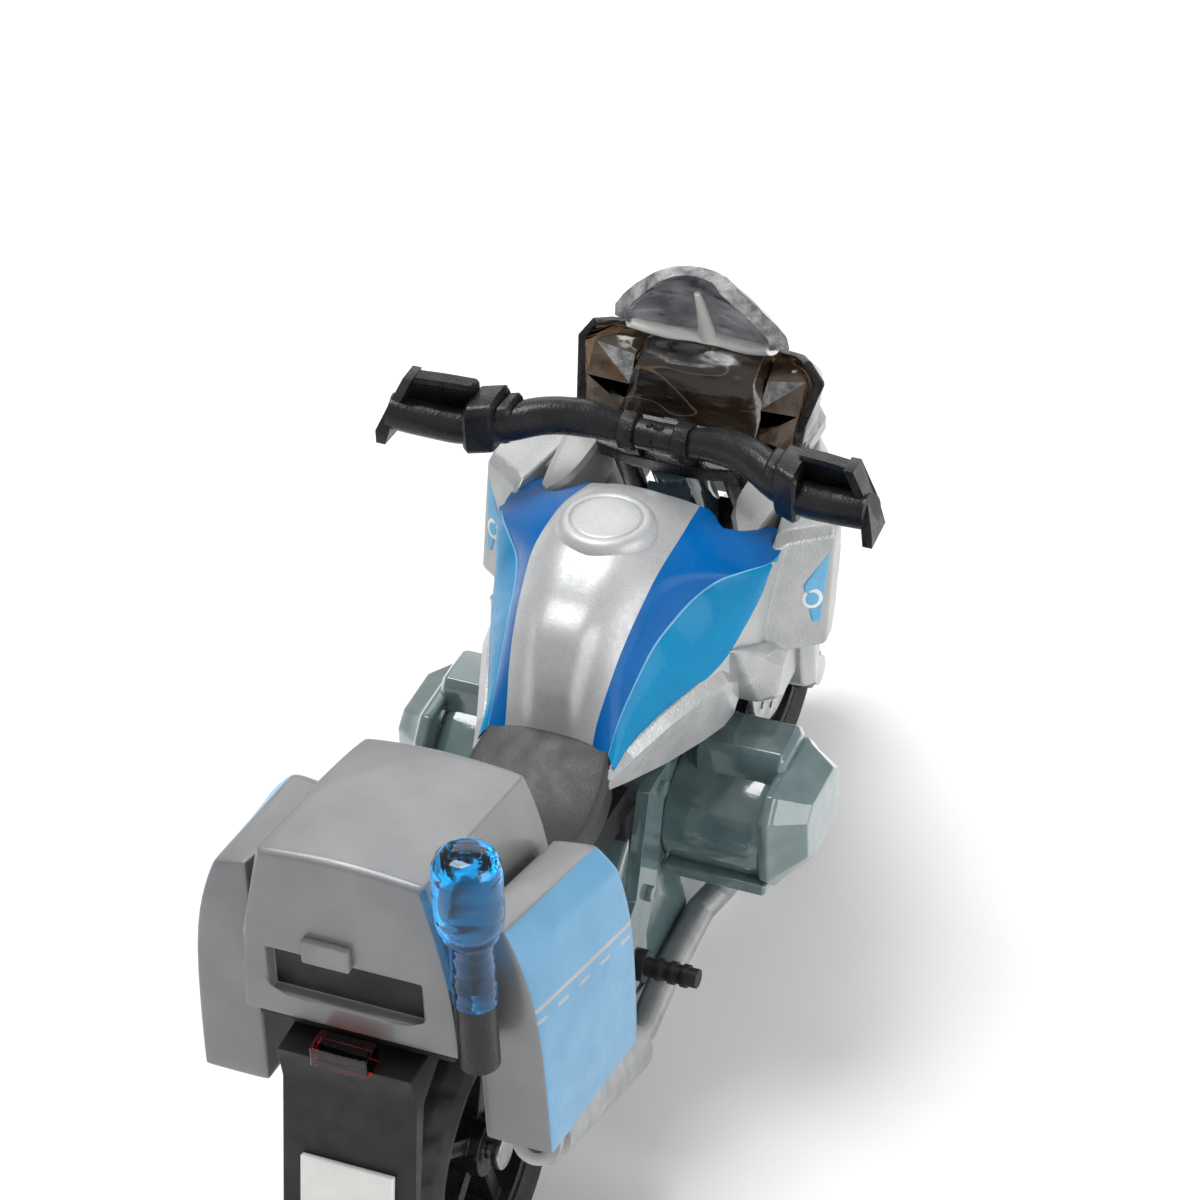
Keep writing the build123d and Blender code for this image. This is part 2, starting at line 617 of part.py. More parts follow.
with BuildPart() as tail_light:
    block((-35.2, -1.7, fender_top - 0.1), (-33.6, 1.7, fender_top + 1.2))
save(tail_light, "tail_light")


# Final drive arm and exhaust

with BuildPart() as swingarm:
    side_slab(
        [(-9.0, 15.0), (-9.0, 10.8), (-18.0, 8.6), (-21.6, 7.6), (-23.6, 9.0), (-23.6, 11.0), (-21.6, 12.6),
         (-18.0, 12.8)],
        3.0,
        4.7,
    )
    bar((REAR_AXLE_X, 3.0, WHEEL_RADIUS), (REAR_AXLE_X, 5.2, WHEEL_RADIUS), 2.8)
    bar((REAR_AXLE_X, 2.5, WHEEL_RADIUS), (REAR_AXLE_X, 3.0, WHEEL_RADIUS), 1.6)
    bar((REAR_AXLE_X, 2.5, WHEEL_RADIUS), (REAR_AXLE_X, 5.2, WHEEL_RADIUS), AXLE_RADIUS, mode=Mode.SUBTRACT)
save(swingarm, "swingarm")

SILENCER_START = Vector(-10.5, -6.0, 9.2)
SILENCER_END = Vector(-25.0, -7.0, 15.6)
silencer_run = SILENCER_END - SILENCER_START
with BuildPart() as exhaust_pipes:
    lead_in = SILENCER_START - silencer_run * 0.22
    bent_bar(
        [(4.6, -7.6, 14.6), (4.6, -7.6, 12.6), (5.0, -6.4, 9.4), (3.6, -5.35, 8.2), (-3.0, -5.35, 7.7),
         tuple(lead_in), tuple(SILENCER_START)],
        0.9,
    )
    bent_bar([(4.6, 7.6, 14.6), (4.6, 7.6, 12.6), (5.0, 6.4, 9.4), (3.6, 5.35, 8.2), (0.6, 5.35, 8.0)], 0.9)
save(exhaust_pipes, "exhaust_pipes")

with BuildPart() as silencer:
    outlet = SILENCER_END + silencer_run * 0.06
    bar(SILENCER_START, SILENCER_END, 1.75)
    bar(SILENCER_END, outlet, 1.45)
    bar(SILENCER_END + silencer_run * 0.01, outlet, 0.7, mode=Mode.SUBTRACT)
save(silencer, "silencer")


# Side stand: a bracket, a pin and a leg that folds back about the pin

PIVOT_X, PIVOT_Z = STAND_PIVOT
with BuildPart() as stand_bracket:
    block((PIVOT_X - 1.3, ENGINE_HALF, PIVOT_Z - 0.9), (PIVOT_X + 1.3, 5.6, PIVOT_Z + 1.6))
    bar((PIVOT_X, ENGINE_HALF, PIVOT_Z), (PIVOT_X, 5.6, PIVOT_Z), STAND_PIN_RADIUS, mode=Mode.SUBTRACT)
save(stand_bracket, "stand_bracket")

with BuildPart() as stand_pin:
    bar((PIVOT_X, ENGINE_HALF, PIVOT_Z), (PIVOT_X, STAND_EYE[1] + 0.1, PIVOT_Z), STAND_PIN_RADIUS)
    bar((PIVOT_X, STAND_EYE[1] + 0.1, PIVOT_Z), (PIVOT_X, STAND_EYE[1] + 0.4, PIVOT_Z), 0.7)
save(stand_pin, "stand_pin")

with BuildPart() as side_stand:
    leg_top = (PIVOT_X + 0.05, 6.2, PIVOT_Z - 0.75)
    leg_foot = (PIVOT_X + 0.8, 9.8, 0.45)
    bar((PIVOT_X, STAND_EYE[0], PIVOT_Z), (PIVOT_X, STAND_EYE[1], PIVOT_Z), 0.95)
    bar(leg_top, leg_foot, 0.42)
    bar((leg_foot[0], leg_foot[1], 0.0), (leg_foot[0], leg_foot[1], 0.55), 0.95)
    bar(
        (PIVOT_X, STAND_EYE[0], PIVOT_Z),
        (PIVOT_X, STAND_EYE[1], PIVOT_Z),
        STAND_PIN_RADIUS + RUNNING_GAP,
        mode=Mode.SUBTRACT,
    )
save(side_stand, "side_stand")
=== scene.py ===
import math

import bmesh
import bpy
from mathutils import Matrix, Vector


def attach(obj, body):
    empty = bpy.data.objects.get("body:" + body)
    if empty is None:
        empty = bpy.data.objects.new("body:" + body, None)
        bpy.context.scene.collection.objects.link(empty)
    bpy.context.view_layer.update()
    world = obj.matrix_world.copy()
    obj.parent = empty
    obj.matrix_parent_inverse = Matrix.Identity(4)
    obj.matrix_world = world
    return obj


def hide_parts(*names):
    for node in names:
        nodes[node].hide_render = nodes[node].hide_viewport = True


# Looks for a toy police motorcycle. Lengths here are millimetres, in the frame of the CAD
# model: +X forwards, +Y to the rider's left, +Z up. MM turns them into metres.
MM = 0.001
SIDES = ((1, "left"), (-1, "right"))

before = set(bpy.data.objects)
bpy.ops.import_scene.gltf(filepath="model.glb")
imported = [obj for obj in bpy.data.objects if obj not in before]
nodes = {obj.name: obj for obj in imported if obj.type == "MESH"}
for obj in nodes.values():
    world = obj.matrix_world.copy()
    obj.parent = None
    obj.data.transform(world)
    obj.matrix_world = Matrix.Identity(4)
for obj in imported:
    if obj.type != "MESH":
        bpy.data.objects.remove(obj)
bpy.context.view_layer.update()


# ---------------------------------------------------------------- materials


def add_node(tree, kind, **values):
    node = tree.nodes.new(kind)
    for key, value in values.items():
        setattr(node, key, value)
    return node


class Finish:
    """A Principled material whose colour, roughness and relief come from noise in the part's frame."""

    def __init__(self, name, **fixed):
        self.material = bpy.data.materials.new(name)
        self.material.use_nodes = True
        self.tree = self.material.node_tree
        self.shader = self.tree.nodes["Principled BSDF"]
        self.coords = add_node(self.tree, "ShaderNodeTexCoord").outputs["Object"]
        self.height = None
        for key, value in fixed.items():
            self.shader.inputs[key.replace("_", " ")].default_value = value

    def link(self, source, target):
        self.tree.links.new(source, target)

    def noise(self, size_mm, detail=3.0, stretch=(1, 1, 1)):
        """A noise value whose features are about size_mm across."""
        mapping = add_node(self.tree, "ShaderNodeMapping")
        mapping.inputs["Scale"].default_value = stretch
        self.link(self.coords, mapping.inputs["Vector"])
        node = add_node(self.tree, "ShaderNodeTexNoise")
        node.inputs["Scale"].default_value = 1 / (size_mm * MM)
        node.inputs["Detail"].default_value = detail
        self.link(mapping.outputs["Vector"], node.inputs["Vector"])
        return node.outputs["Fac"]

    def cells(self, size_mm):
        """A random value for each cell about size_mm across, as in metal flake."""
        node = add_node(self.tree, "ShaderNodeTexVoronoi")
        node.inputs["Scale"].default_value = 1 / (size_mm * MM)
        self.link(self.coords, node.inputs["Vector"])
        split = add_node(self.tree, "ShaderNodeSeparateColor")
        self.link(node.outputs["Color"], split.inputs["Color"])
        return split.outputs["Red"]

    def ramp(self, value, stops):
        """Colours along a value: (position, colour) pairs."""
        node = add_node(self.tree, "ShaderNodeValToRGB")
        elements = node.color_ramp.elements
        while len(elements) < len(stops):
            elements.new(0.5)
        for element, (position, colour) in zip(elements, stops):
            element.position = position
            element.color = (*colour, 1)
        self.link(value, node.inputs["Fac"])
        return node.outputs["Color"]

    def mix(self, factor, first, second, blend="MIX"):
        node = add_node(self.tree, "ShaderNodeMix", data_type="RGBA", blend_type=blend)
        for source, socket in ((factor, node.inputs[0]), (first, node.inputs[6]), (second, node.inputs[7])):
            if isinstance(source, bpy.types.NodeSocket):
                self.link(source, socket)
            elif isinstance(source, (int, float)):
                socket.default_value = source
            else:
                socket.default_value = (*source, 1)
        return node.outputs[2]

    def math(self, operation, first, second=None):
        node = add_node(self.tree, "ShaderNodeMath", operation=operation)
        for source, socket in ((first, node.inputs[0]), (second, node.inputs[1])):
            if isinstance(source, bpy.types.NodeSocket):
                self.link(source, socket)
            elif source is not None:
                socket.default_value = source
        return node.outputs[0]

    def axis(self, name):
        """One coordinate of the point, in millimetres."""
        split = add_node(self.tree, "ShaderNodeSeparateXYZ")
        self.link(self.coords, split.inputs[0])
        return self.math("MULTIPLY", split.outputs[name], 1 / MM)

    def colour(self, source):
        self.link(source, self.shader.inputs["Base Color"])

    def roughness(self, value, low, high):
        node = add_node(self.tree, "ShaderNodeMapRange")
        self.link(value, node.inputs["Value"])
        node.inputs["From Min"].default_value = 0.3
        node.inputs["From Max"].default_value = 0.7
        node.inputs["To Min"].default_value = low
        node.inputs["To Max"].default_value = high
        self.link(node.outputs["Result"], self.shader.inputs["Roughness"])

    def relief(self, value, depth_mm, strength=1.0):
        """Adds one layer of bump, depth_mm from its lowest to its highest."""
        node = add_node(self.tree, "ShaderNodeBump")
        node.inputs["Distance"].default_value = depth_mm * MM
        node.inputs["Strength"].default_value = strength
        self.link(value, node.inputs["Height"])
        if self.height is not None:
            self.link(self.height, node.inputs["Normal"])
        self.height = node.outputs["Normal"]
        self.link(self.height, self.shader.inputs["Normal"])


def moulded(name, dark, light, rough, grain=(0.16, 0.012), sag=(2.6, 0.05), mottle=1.8, **fixed):
    """A moulded or painted surface: slight mottling, fine grain and a gentle unevenness."""
    made = Finish(name, **fixed)
    broad = made.noise(mottle, 4.0)
    made.colour(made.ramp(broad, ((0.32, dark), (0.68, light))))
    fine = made.noise(grain[0], 2.0)
    made.roughness(made.noise(mottle * 0.6, 5.0), *rough)
    made.relief(made.noise(sag[0], 1.0), sag[1])
    made.relief(fine, grain[1])
    return made


def metallic_silver(name, dark, light, metallic):
    made = Finish(name, Metallic=metallic, Coat_Weight=0.2, Coat_Roughness=0.28)
    base = made.ramp(made.noise(3.0, 3.0), ((0.3, dark), (0.7, light)))
    flakes = made.ramp(made.cells(0.075), ((0.0, (0.93, 0.93, 0.93)), (1.0, (1.07, 1.07, 1.07))))
    made.colour(made.mix(1.0, base, flakes, "MULTIPLY"))
    made.roughness(made.noise(0.5, 4.0), 0.36, 0.5)
    made.relief(made.noise(2.4, 1.0), 0.035)
    made.relief(made.noise(0.13, 2.0), 0.009)
    return made.material


def printed_blue(name, dark, light):
    made = Finish(name, Specular_IOR_Level=0.1, Coat_Weight=0.14, Coat_Roughness=0.12)
    broad = made.ramp(made.noise(3.4, 3.0), ((0.3, dark), (0.7, light)))
    specks = made.ramp(made.cells(0.1), ((0.0, (0.93, 0.93, 0.93)), (1.0, (1.07, 1.07, 1.07))))
    made.colour(made.mix(1.0, broad, specks, "MULTIPLY"))
    made.roughness(made.noise(0.9, 4.0), 0.3, 0.42)
    made.relief(made.noise(2.2, 1.0), 0.03)
    made.relief(made.noise(0.14, 2.0), 0.005)
    return made.material


SILVER = metallic_silver("silver_metallic", (0.42, 0.43, 0.44), (0.50, 0.505, 0.51), 0.35)
SILVER_PLASTIC = metallic_silver("silver_moulded", (0.39, 0.395, 0.40), (0.47, 0.47, 0.47), 0.3)
SILVER_CAST = moulded("silver_cast", (0.37, 0.38, 0.385), (0.45, 0.455, 0.455), (0.26, 0.4),
                      grain=(0.18, 0.04), sag=(1.5, 0.08),
                      Metallic=0.3, Coat_Weight=0.3, Coat_Roughness=0.12).material
BLUE_DEEP = printed_blue("blue_deep", (0.0, 0.098, 0.33), (0.0, 0.118, 0.39))
BLUE_BRIGHT = printed_blue("blue_bright", (0.0, 0.20, 0.42), (0.0, 0.24, 0.48))
# Pale blue for the printed marks on the fairings, and also for the painted highlight along the tank's crease.
BLUE_PALE_PRINT_AND_GLINT = printed_blue("blue_pale_print_and_glint", (0.14, 0.40, 0.65), (0.19, 0.47, 0.72))
ENAMEL = moulded("enamel", (0.085, 0.135, 0.14), (0.125, 0.185, 0.19), (0.08, 0.16), grain=(0.2, 0.004),
                 sag=(1.9, 0.09), Coat_Weight=1.0, Coat_Roughness=0.03).material
BLACK = moulded("black_moulded", (0.006, 0.006, 0.007), (0.012, 0.012, 0.014), (0.2, 0.4),
                grain=(0.16, 0.035), sag=(1.5, 0.09), Specular_IOR_Level=0.3,
                Coat_Weight=0.12, Coat_Roughness=0.15).material
BLACK_SOFT = moulded("black_satin", (0.010, 0.010, 0.010), (0.018, 0.018, 0.018), (0.38, 0.55),
                     Specular_IOR_Level=0.3).material
SEAT_GREY = moulded("seat_moulded", (0.024, 0.024, 0.0225), (0.031, 0.031, 0.029), (0.42, 0.56),
                    grain=(0.13, 0.02)).material
BOX_GREY = moulded("box_moulded", (0.19, 0.193, 0.20), (0.235, 0.236, 0.24), (0.3, 0.42), grain=(0.12, 0.006),
                   mottle=5.0, Metallic=0.3, Coat_Weight=0.15).material
TRIM_GREY = moulded("trim_moulded", (0.2, 0.2, 0.205), (0.26, 0.26, 0.265), (0.4, 0.5)).material
RUBBER = moulded("tyre_moulded", (0.012, 0.012, 0.012), (0.024, 0.024, 0.023), (0.6, 0.78),
                 grain=(0.18, 0.03)).material
STEEL = moulded("turned_steel", (0.42, 0.42, 0.43), (0.58, 0.58, 0.58), (0.22, 0.36), grain=(0.1, 0.008),
                Metallic=1.0).material
DISC = moulded("disc_silver", (0.5, 0.5, 0.51), (0.62, 0.62, 0.63), (0.25, 0.4), grain=(0.1, 0.01),
               Metallic=0.9).material
PIPE = moulded("exhaust_silver", (0.33, 0.335, 0.34), (0.45, 0.455, 0.46), (0.28, 0.42),
               Metallic=0.7).material
PLATE = moulded("plate_white", (0.72, 0.72, 0.7), (0.8, 0.8, 0.78), (0.3, 0.4)).material


def clear(name, dark, light, rough, ripple=(1.3, 0.12), frost=None, **fixed):
    """Clear moulded plastic, with the flow ripples of the mould."""
    made = Finish(name, Transmission_Weight=1.0, IOR=1.46, **fixed)
    made.colour(made.ramp(made.noise(2.5, 3.0), ((0.3, dark), (0.7, light))))
    made.roughness(made.noise(0.7, 4.0), *rough)
    made.relief(made.noise(ripple[0], 0.4, (1, 0.6, 1.5)), ripple[1])
    if frost:
        made.relief(made.noise(frost[0], 3.0), frost[1])
    return made.material


SMOKE = clear("smoke_clear", (0.02, 0.013, 0.008), (0.22, 0.15, 0.095), (0.02, 0.07), ripple=(2.2, 0.25))
SMOKE_GREY = clear("smoke_grey", (0.02, 0.022, 0.026), (0.16, 0.165, 0.175), (0.03, 0.1), ripple=(1.8, 0.3))
# Light frosted smoke for the visor's cut edges, whose light tone is partly a painted highlight; it also
# paints a highlight on one facet beside the dash.
SMOKE_FROST_AND_GLINT = moulded("smoke_frost_and_glint", (0.07, 0.07, 0.073), (0.46, 0.46, 0.47), (0.22, 0.4),
                      grain=(0.15, 0.1), sag=(1.4, 0.1),
                      mottle=0.8, Transmission_Weight=0.2, Coat_Weight=0.3).material
SMOKE_EDGE = clear("smoke_edge", (0.05, 0.045, 0.04), (0.14, 0.13, 0.12), (0.15, 0.3), frost=(0.17, 0.05))
# Light gloss for the visor's rim and spine beads: a painted highlight, standing in for reflections in the
# smoked plastic.
GLINT = moulded("smoke_painted_glint", (0.72, 0.71, 0.69), (0.84, 0.83, 0.81), (0.08, 0.2), grain=(0.3, 0.01),
                sag=(0.9, 0.1),
                Coat_Weight=0.6, Coat_Roughness=0.05).material
TRAY = moulded("smoke_tray", (0.045, 0.029, 0.018), (0.12, 0.078, 0.045), (0.08, 0.25),
               grain=(0.3, 0.01), sag=(1.3, 0.3),
               mottle=1.2, Coat_Weight=0.6, Coat_Roughness=0.05).material
CLEAR = moulded("lens_clear", (0.6, 0.62, 0.64), (0.78, 0.8, 0.82), (0.05, 0.12), sag=(1.2, 0.15),
                Transmission_Weight=0.55,
                Coat_Weight=0.5).material
BEACON = clear("beacon_blue", (0.0, 0.33, 0.9), (0.02, 0.5, 0.97), (0.03, 0.08), ripple=(0.9, 0.08))
RED = clear("tail_red", (0.5, 0.005, 0.005), (0.7, 0.012, 0.01), (0.05, 0.1), ripple=(0.6, 0.04))


# The dash: dark brown, with thin bright streaks where the noise crosses its middle; the streaks are painted
# glints standing in for reflections in the smoked screen.
made = Finish("dash_with_painted_glints", Coat_Weight=0.6, Coat_Roughness=0.05)
lines = made.ramp(made.noise(3.2, 1.2, (1, 0.5, 1.6)), (
    (0.0, (0.004, 0.0035, 0.003)), (0.485, (0.008, 0.006, 0.004)), (0.5, (0.17, 0.10, 0.045)),
    (0.512, (0.010, 0.007, 0.005)),
    (0.62, (0.02, 0.012, 0.007)), (1.0, (0.04, 0.024, 0.012))))
made.colour(lines)
made.roughness(made.noise(0.8), 0.12, 0.3)
made.relief(made.noise(1.8, 2.0, (1, 0.5, 1.4)), 0.3)
DASH = made.material


# ---------------------------------------------------------------- meshes


def smooth_line(points, count):
    """count points evenly spaced along a smooth line through the given ones."""
    known = [Vector(p) for p in points]
    ends = [known[0] * 2 - known[1]] + known + [known[-1] * 2 - known[-2]]
    fine = []
    for i in range(1, len(ends) - 2):
        a, b, c, d = ends[i - 1 : i + 3]
        for step in range(16):
            t = step / 16
            fine.append(0.5 * (2 * b + (c - a) * t + (2 * a - 5 * b + 4 * c - d) * t * t
                               + (3 * b - a - 3 * c + d) * t**3))
    fine.append(known[-1])
    return spaced(fine, count)


def spaced(fine, count):
    """count points evenly spaced along a polyline."""
    lengths = [0.0]
    for a, b in zip(fine, fine[1:]):
        lengths.append(lengths[-1] + (b - a).length)
    out, i = [], 0
    for k in range(count):
        target = lengths[-1] * k / (count - 1)
        while i < len(fine) - 2 and lengths[i + 1] < target:
            i += 1
        span = lengths[i + 1] - lengths[i] or 1
        out.append(fine[i].lerp(fine[i + 1], (target - lengths[i]) / span))
    return out


def piece(name, body, verts, faces, materials, picks=None, sharp=48, replaces=(), weld=True):
    """Makes one named mesh from points in millimetres and puts it on its body."""
    mesh = bpy.data.meshes.new(name)
    mesh.from_pydata([Vector(v) * MM for v in verts], [], faces)
    for material in materials:
        mesh.materials.append(material)
    if picks:
        for polygon, pick in zip(mesh.polygons, picks):
            polygon.material_index = pick
    shape = bmesh.new()
    shape.from_mesh(mesh)
    if weld:
        bmesh.ops.remove_doubles(shape, verts=shape.verts, dist=0.004 * MM)
    bmesh.ops.recalc_face_normals(shape, faces=shape.faces)
    for face in shape.faces:
        face.smooth = True
    for edge in shape.edges:
        if len(edge.link_faces) == 2 and edge.calc_face_angle(0) > math.radians(sharp):
            edge.smooth = False
    shape.to_mesh(mesh)
    shape.free()
    made = bpy.data.objects.new(name, mesh)
    bpy.context.scene.collection.objects.link(made)
    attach(made, body)
    if replaces:
        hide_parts(*replaces)
    return made


def soften(made, width_mm, levels=0, angle=28, segments=3):
    """Rounds a piece's edges, and with levels above 0 its faces too."""
    bevel = made.modifiers.new("edges", "BEVEL")
    bevel.width = width_mm * MM
    bevel.segments = segments
    bevel.limit_method = "ANGLE"
    bevel.angle_limit = math.radians(angle)
    if levels:
        for polygon in made.data.polygons:
            polygon.use_smooth = True
        for edge in made.data.edges:
            edge.use_edge_sharp = False
        bevel.segments = 2
        divide = made.modifiers.new("faces", "SUBSURF")
        divide.levels = divide.render_levels = levels
    else:
        made.modifiers.new("shading", "WEIGHTED_NORMAL")
    return made


def loft(rings, cap=True):
    """Faces through closed rings of equal point counts."""
    n = len(rings[0])
    verts = [p for ring in rings for p in ring]
    faces = []
    for r in range(len(rings) - 1):
        for i in range(n):
            j = (i + 1) % n
            faces.append((r * n + i, r * n + j, (r + 1) * n + j, (r + 1) * n + i))
    if cap:
        faces.append(tuple(range(n - 1, -1, -1)))
        faces.append(tuple((len(rings) - 1) * n + i for i in range(n)))
    return verts, faces


def lathe(profile, centre, steps=48, axis="Z"):
    """Turns (radius, along) pairs about an axis through centre."""
    rings = []
    for radius, along in profile:
        ring = []
        for k in range(steps):
            turn = 2 * math.pi * k / steps
            u, v = radius * math.cos(turn), radius * math.sin(turn)
            offset = (u, v, along) if axis == "Z" else (u, along, v)
            ring.append(Vector(centre) + Vector(offset))
        rings.append(ring)
    return loft(rings)


def oval(centre, x_half, z_half, y, power=2.8, steps=32):
    """A rounded square ring in an XZ plane."""
    ring = []
    for k in range(steps):
        turn = 2 * math.pi * k / steps
        c, s = math.cos(turn), math.sin(turn)
        ring.append(Vector((centre[0] + x_half * math.copysign(abs(c) ** (2 / power), c), y,
                            centre[1] + z_half * math.copysign(abs(s) ** (2 / power), s))))
    return ring


def tube(path, radii, steps=20, flat=1.0):
    """Rings of a tube along a line, with a radius at each point; flat squeezes it sideways."""
    rings = []
    for i, p in enumerate(path):
        ahead = (path[min(i + 1, len(path) - 1)] - path[max(i - 1, 0)]).normalized()
        level = ahead.cross(Vector((0, 0, 1))).normalized()
        upward = level.cross(ahead).normalized()
        rings.append([p + level * radii[i] * math.cos(2 * math.pi * k / steps)
                      + upward * radii[i] * flat * math.sin(2 * math.pi * k / steps) for k in range(steps)])
    return loft(rings)


def flip(points, side):
    return [Vector((p[0], p[1] * side, p[2])) for p in points]


class Patchwork:
    """Collects patches between lines into one mesh, with a material index for each patch."""

    def __init__(self):
        self.verts, self.faces, self.picks = [], [], []

    def patch(self, first, second, pick=0, across=9, bulge=0.0, shift=None, crown=1.0):
        """A patch from one line to another: bulge is its crown in millimetres along its own normal,
        and a crown above 1 keeps it level beside the first line."""
        start, n = len(self.verts), len(first)
        marks = [0.5 - 0.5 * math.cos(math.pi * c / (across - 1)) for c in range(across)]
        for i, (a, b) in enumerate(zip(first, second)):
            ahead = first[min(i + 1, n - 1)] - first[max(i - 1, 0)]
            normal = ahead.cross(b - a)
            normal = normal.normalized() if normal.length > 1e-6 else Vector((0, 0, 0))
            if normal.z < 0:
                normal = -normal
            for t in marks:
                p = a.lerp(b, t)
                p.x, p.z = a.x + (b.x - a.x) * t**crown, a.z + (b.z - a.z) * t**crown
                p += normal * bulge * 4 * t * (1 - t)
                if shift:
                    p = p + shift(i / (n - 1), t)
                self.verts.append(p)
        for i in range(n - 1):
            for c in range(across - 1):
                k = start + i * across + c
                self.faces.append((k, k + 1, k + across + 1, k + across))
                self.picks.append(pick)

    def polygon(self, points, pick=0):
        start = len(self.verts)
        self.verts.extend(Vector(p) for p in points)
        self.faces.append(tuple(range(start, start + len(points))))
        self.picks.append(pick)

    def add(self, verts, faces, pick=0):
        start = len(self.verts)
        self.verts.extend(verts)
        self.faces.extend(tuple(i + start for i in face) for face in faces)
        self.picks.extend([pick] * len(faces))


# ---------------------------------------------------------------- tank

ALONG = 64
ridge_line = [(10.0, 0, 34.75), (8.6, 0, 35.95), (6.8, 0, 36.75), (3.9, 0, 37.0), (1.0, 0, 36.65),
              (-1.3, 0, 35.6), (-3.0, 0, 34.0), (-4.3, 0, 31.9), (-5.1, 0, 29.9), (-5.75, 0, 28.0)]
strip_line = [(9.9, 3.5, 34.5), (7.9, 3.75, 35.0), (5.9, 3.94, 35.3), (2.2, 3.93, 35.2), (-0.37, 3.68, 34.1),
              (-2.55, 3.38, 32.6), (-4.1, 3.1, 30.9), (-5.2, 2.85, 29.3), (-5.9, 2.75, 27.9)]
crease_line = [(12.2, 8.5, 32.0), (10.4, 8.68, 32.6), (8.3, 8.62, 32.75), (6.2, 7.75, 33.35),
               (4.65, 6.68, 33.5),
               (3.46, 5.7, 32.95), (1.67, 5.05, 32.4), (-0.26, 4.61, 31.9), (-1.61, 4.36, 31.2),
               (-3.12, 4.11, 30.2), (-4.59, 3.9, 29.1), (-6.0, 3.8, 27.7)]
side_line = [(8.3, 8.62, 32.75), (7.6, 8.6, 31.9), (6.86, 8.48, 31.2), (5.28, 8.06, 30.0), (3.25, 7.49, 28.8),
             (0.72, 6.58, 28.2), (-1.73, 5.66, 27.6), (-4.14, 4.75, 27.0), (-6.5, 4.35, 26.7)]


def crown_shift(u, t):
    """The raised nose of the tank ahead of the seat, and the soft shoulders behind the cap."""
    tail = max(0.0, min(1.0, (u - 0.60) / 0.12))
    fade = max(0.0, min(1.0, (1.0 - u) / 0.12))
    hump = 0.6 * fade * tail * tail * (3 - 2 * tail) * max(0.0, min(1.0, (0.62 - t) / 0.22))
    middle = math.exp(-(((u - 0.52) / 0.16) ** 2))
    channel = -0.16 * middle * math.exp(-((t / 0.34) ** 2))
    return Vector((-0.75 * hump, 0, 0.65 * hump + channel))


def front_notch(u, t):
    """The scallop in the tank's front edge where each intake sits."""
    near = max(0.0, 1 - u / 0.16) ** 2
    return Vector((-2.1 * near * math.exp(-(((t - 0.40) / 0.17) ** 2)), 0, 0))


tank = Patchwork()
for side, _ in SIDES:
    ridge, strip, crease = (flip(smooth_line(points, ALONG), side)
                            for points in (ridge_line, strip_line, crease_line))
    corner = Vector((8.3, 8.62 * side, 32.75))
    near = min(range(ALONG), key=lambda i: (crease[i] - corner).length)
    inner_crease = spaced([corner] + crease[near + 1 :], ALONG)
    lower = flip(smooth_line(side_line, ALONG), side)
    tank.patch(ridge, strip, 0, across=19, shift=crown_shift, crown=2.6)
    tank.patch(strip, crease, 1, across=11, bulge=0.12, shift=front_notch)
    tank.patch(inner_crease, lower, 2, across=11, bulge=0.22)
    # A thin pale-blue bead along the lower crease: a painted highlight on the crease.
    tank.add(*tube(inner_crease, [0.02 + 0.07 * math.sin(math.pi * min(1.0, i / 60))
                                  for i in range(ALONG)], 8), pick=3)
    horn = crease[: near + 1]
    horn_low = flip(smooth_line([(12.2, 8.5, 32.0), (10.6, 8.62, 31.3), (8.3, 8.62, 32.75)], 20), side)
    tank.patch(spaced(horn, 20), horn_low, 2, across=4)
    skirt = [Vector((p.x, p.y - 0.55 * side, 26.3)) for p in lower]
    tank.patch(lower, skirt, 0, across=5)
    floor_line = [Vector((p.x, 0, 26.3)) for p in lower]
    tank.patch(skirt, floor_line, 0, across=3)
    rear = [ridge[-1], strip[-1], crease[-1], lower[-1], skirt[-1], floor_line[-1]]
    tank.polygon(rear, 0)
    face = [ridge[0], strip[0]] + [strip[0].lerp(crease[0], t) + front_notch(0, t) for t in (0.2, 0.4,
            0.6, 0.8)]
    face += [crease[0], horn_low[10], lower[0], skirt[0], floor_line[0]]
    tank.polygon(face, 1)
piece("tank", "body", tank.verts, tank.faces, [SILVER, BLUE_DEEP, BLUE_BRIGHT,
        BLUE_PALE_PRINT_AND_GLINT], tank.picks,
      sharp=70, replaces=["tank_shell"])

cap_profile = [(0.0, 0.07), (1.2, 0.06), (1.95, 0.01), (2.08, -0.02), (2.14, -0.07), (2.2, -0.02), (2.3, 0.0),
               (2.48, -0.01), (2.64, -0.07), (2.8, -0.2), (2.95, -0.42), (3.05, -0.75), (3.1, -1.3),
               (0.0, -1.3)]
verts, faces = lathe([(max(r, 0.001), z) for r, z in cap_profile], (0, 0, 0), 64)
tilt = Matrix.Rotation(math.radians(2), 3, "Y")
piece("tank_cap", "body", [tilt @ v + Vector((3.9, 0, 37.08)) for v in verts], faces,
      [SILVER], sharp=60)


# ---------------------------------------------------------------- side covers, wings, ducts and intakes

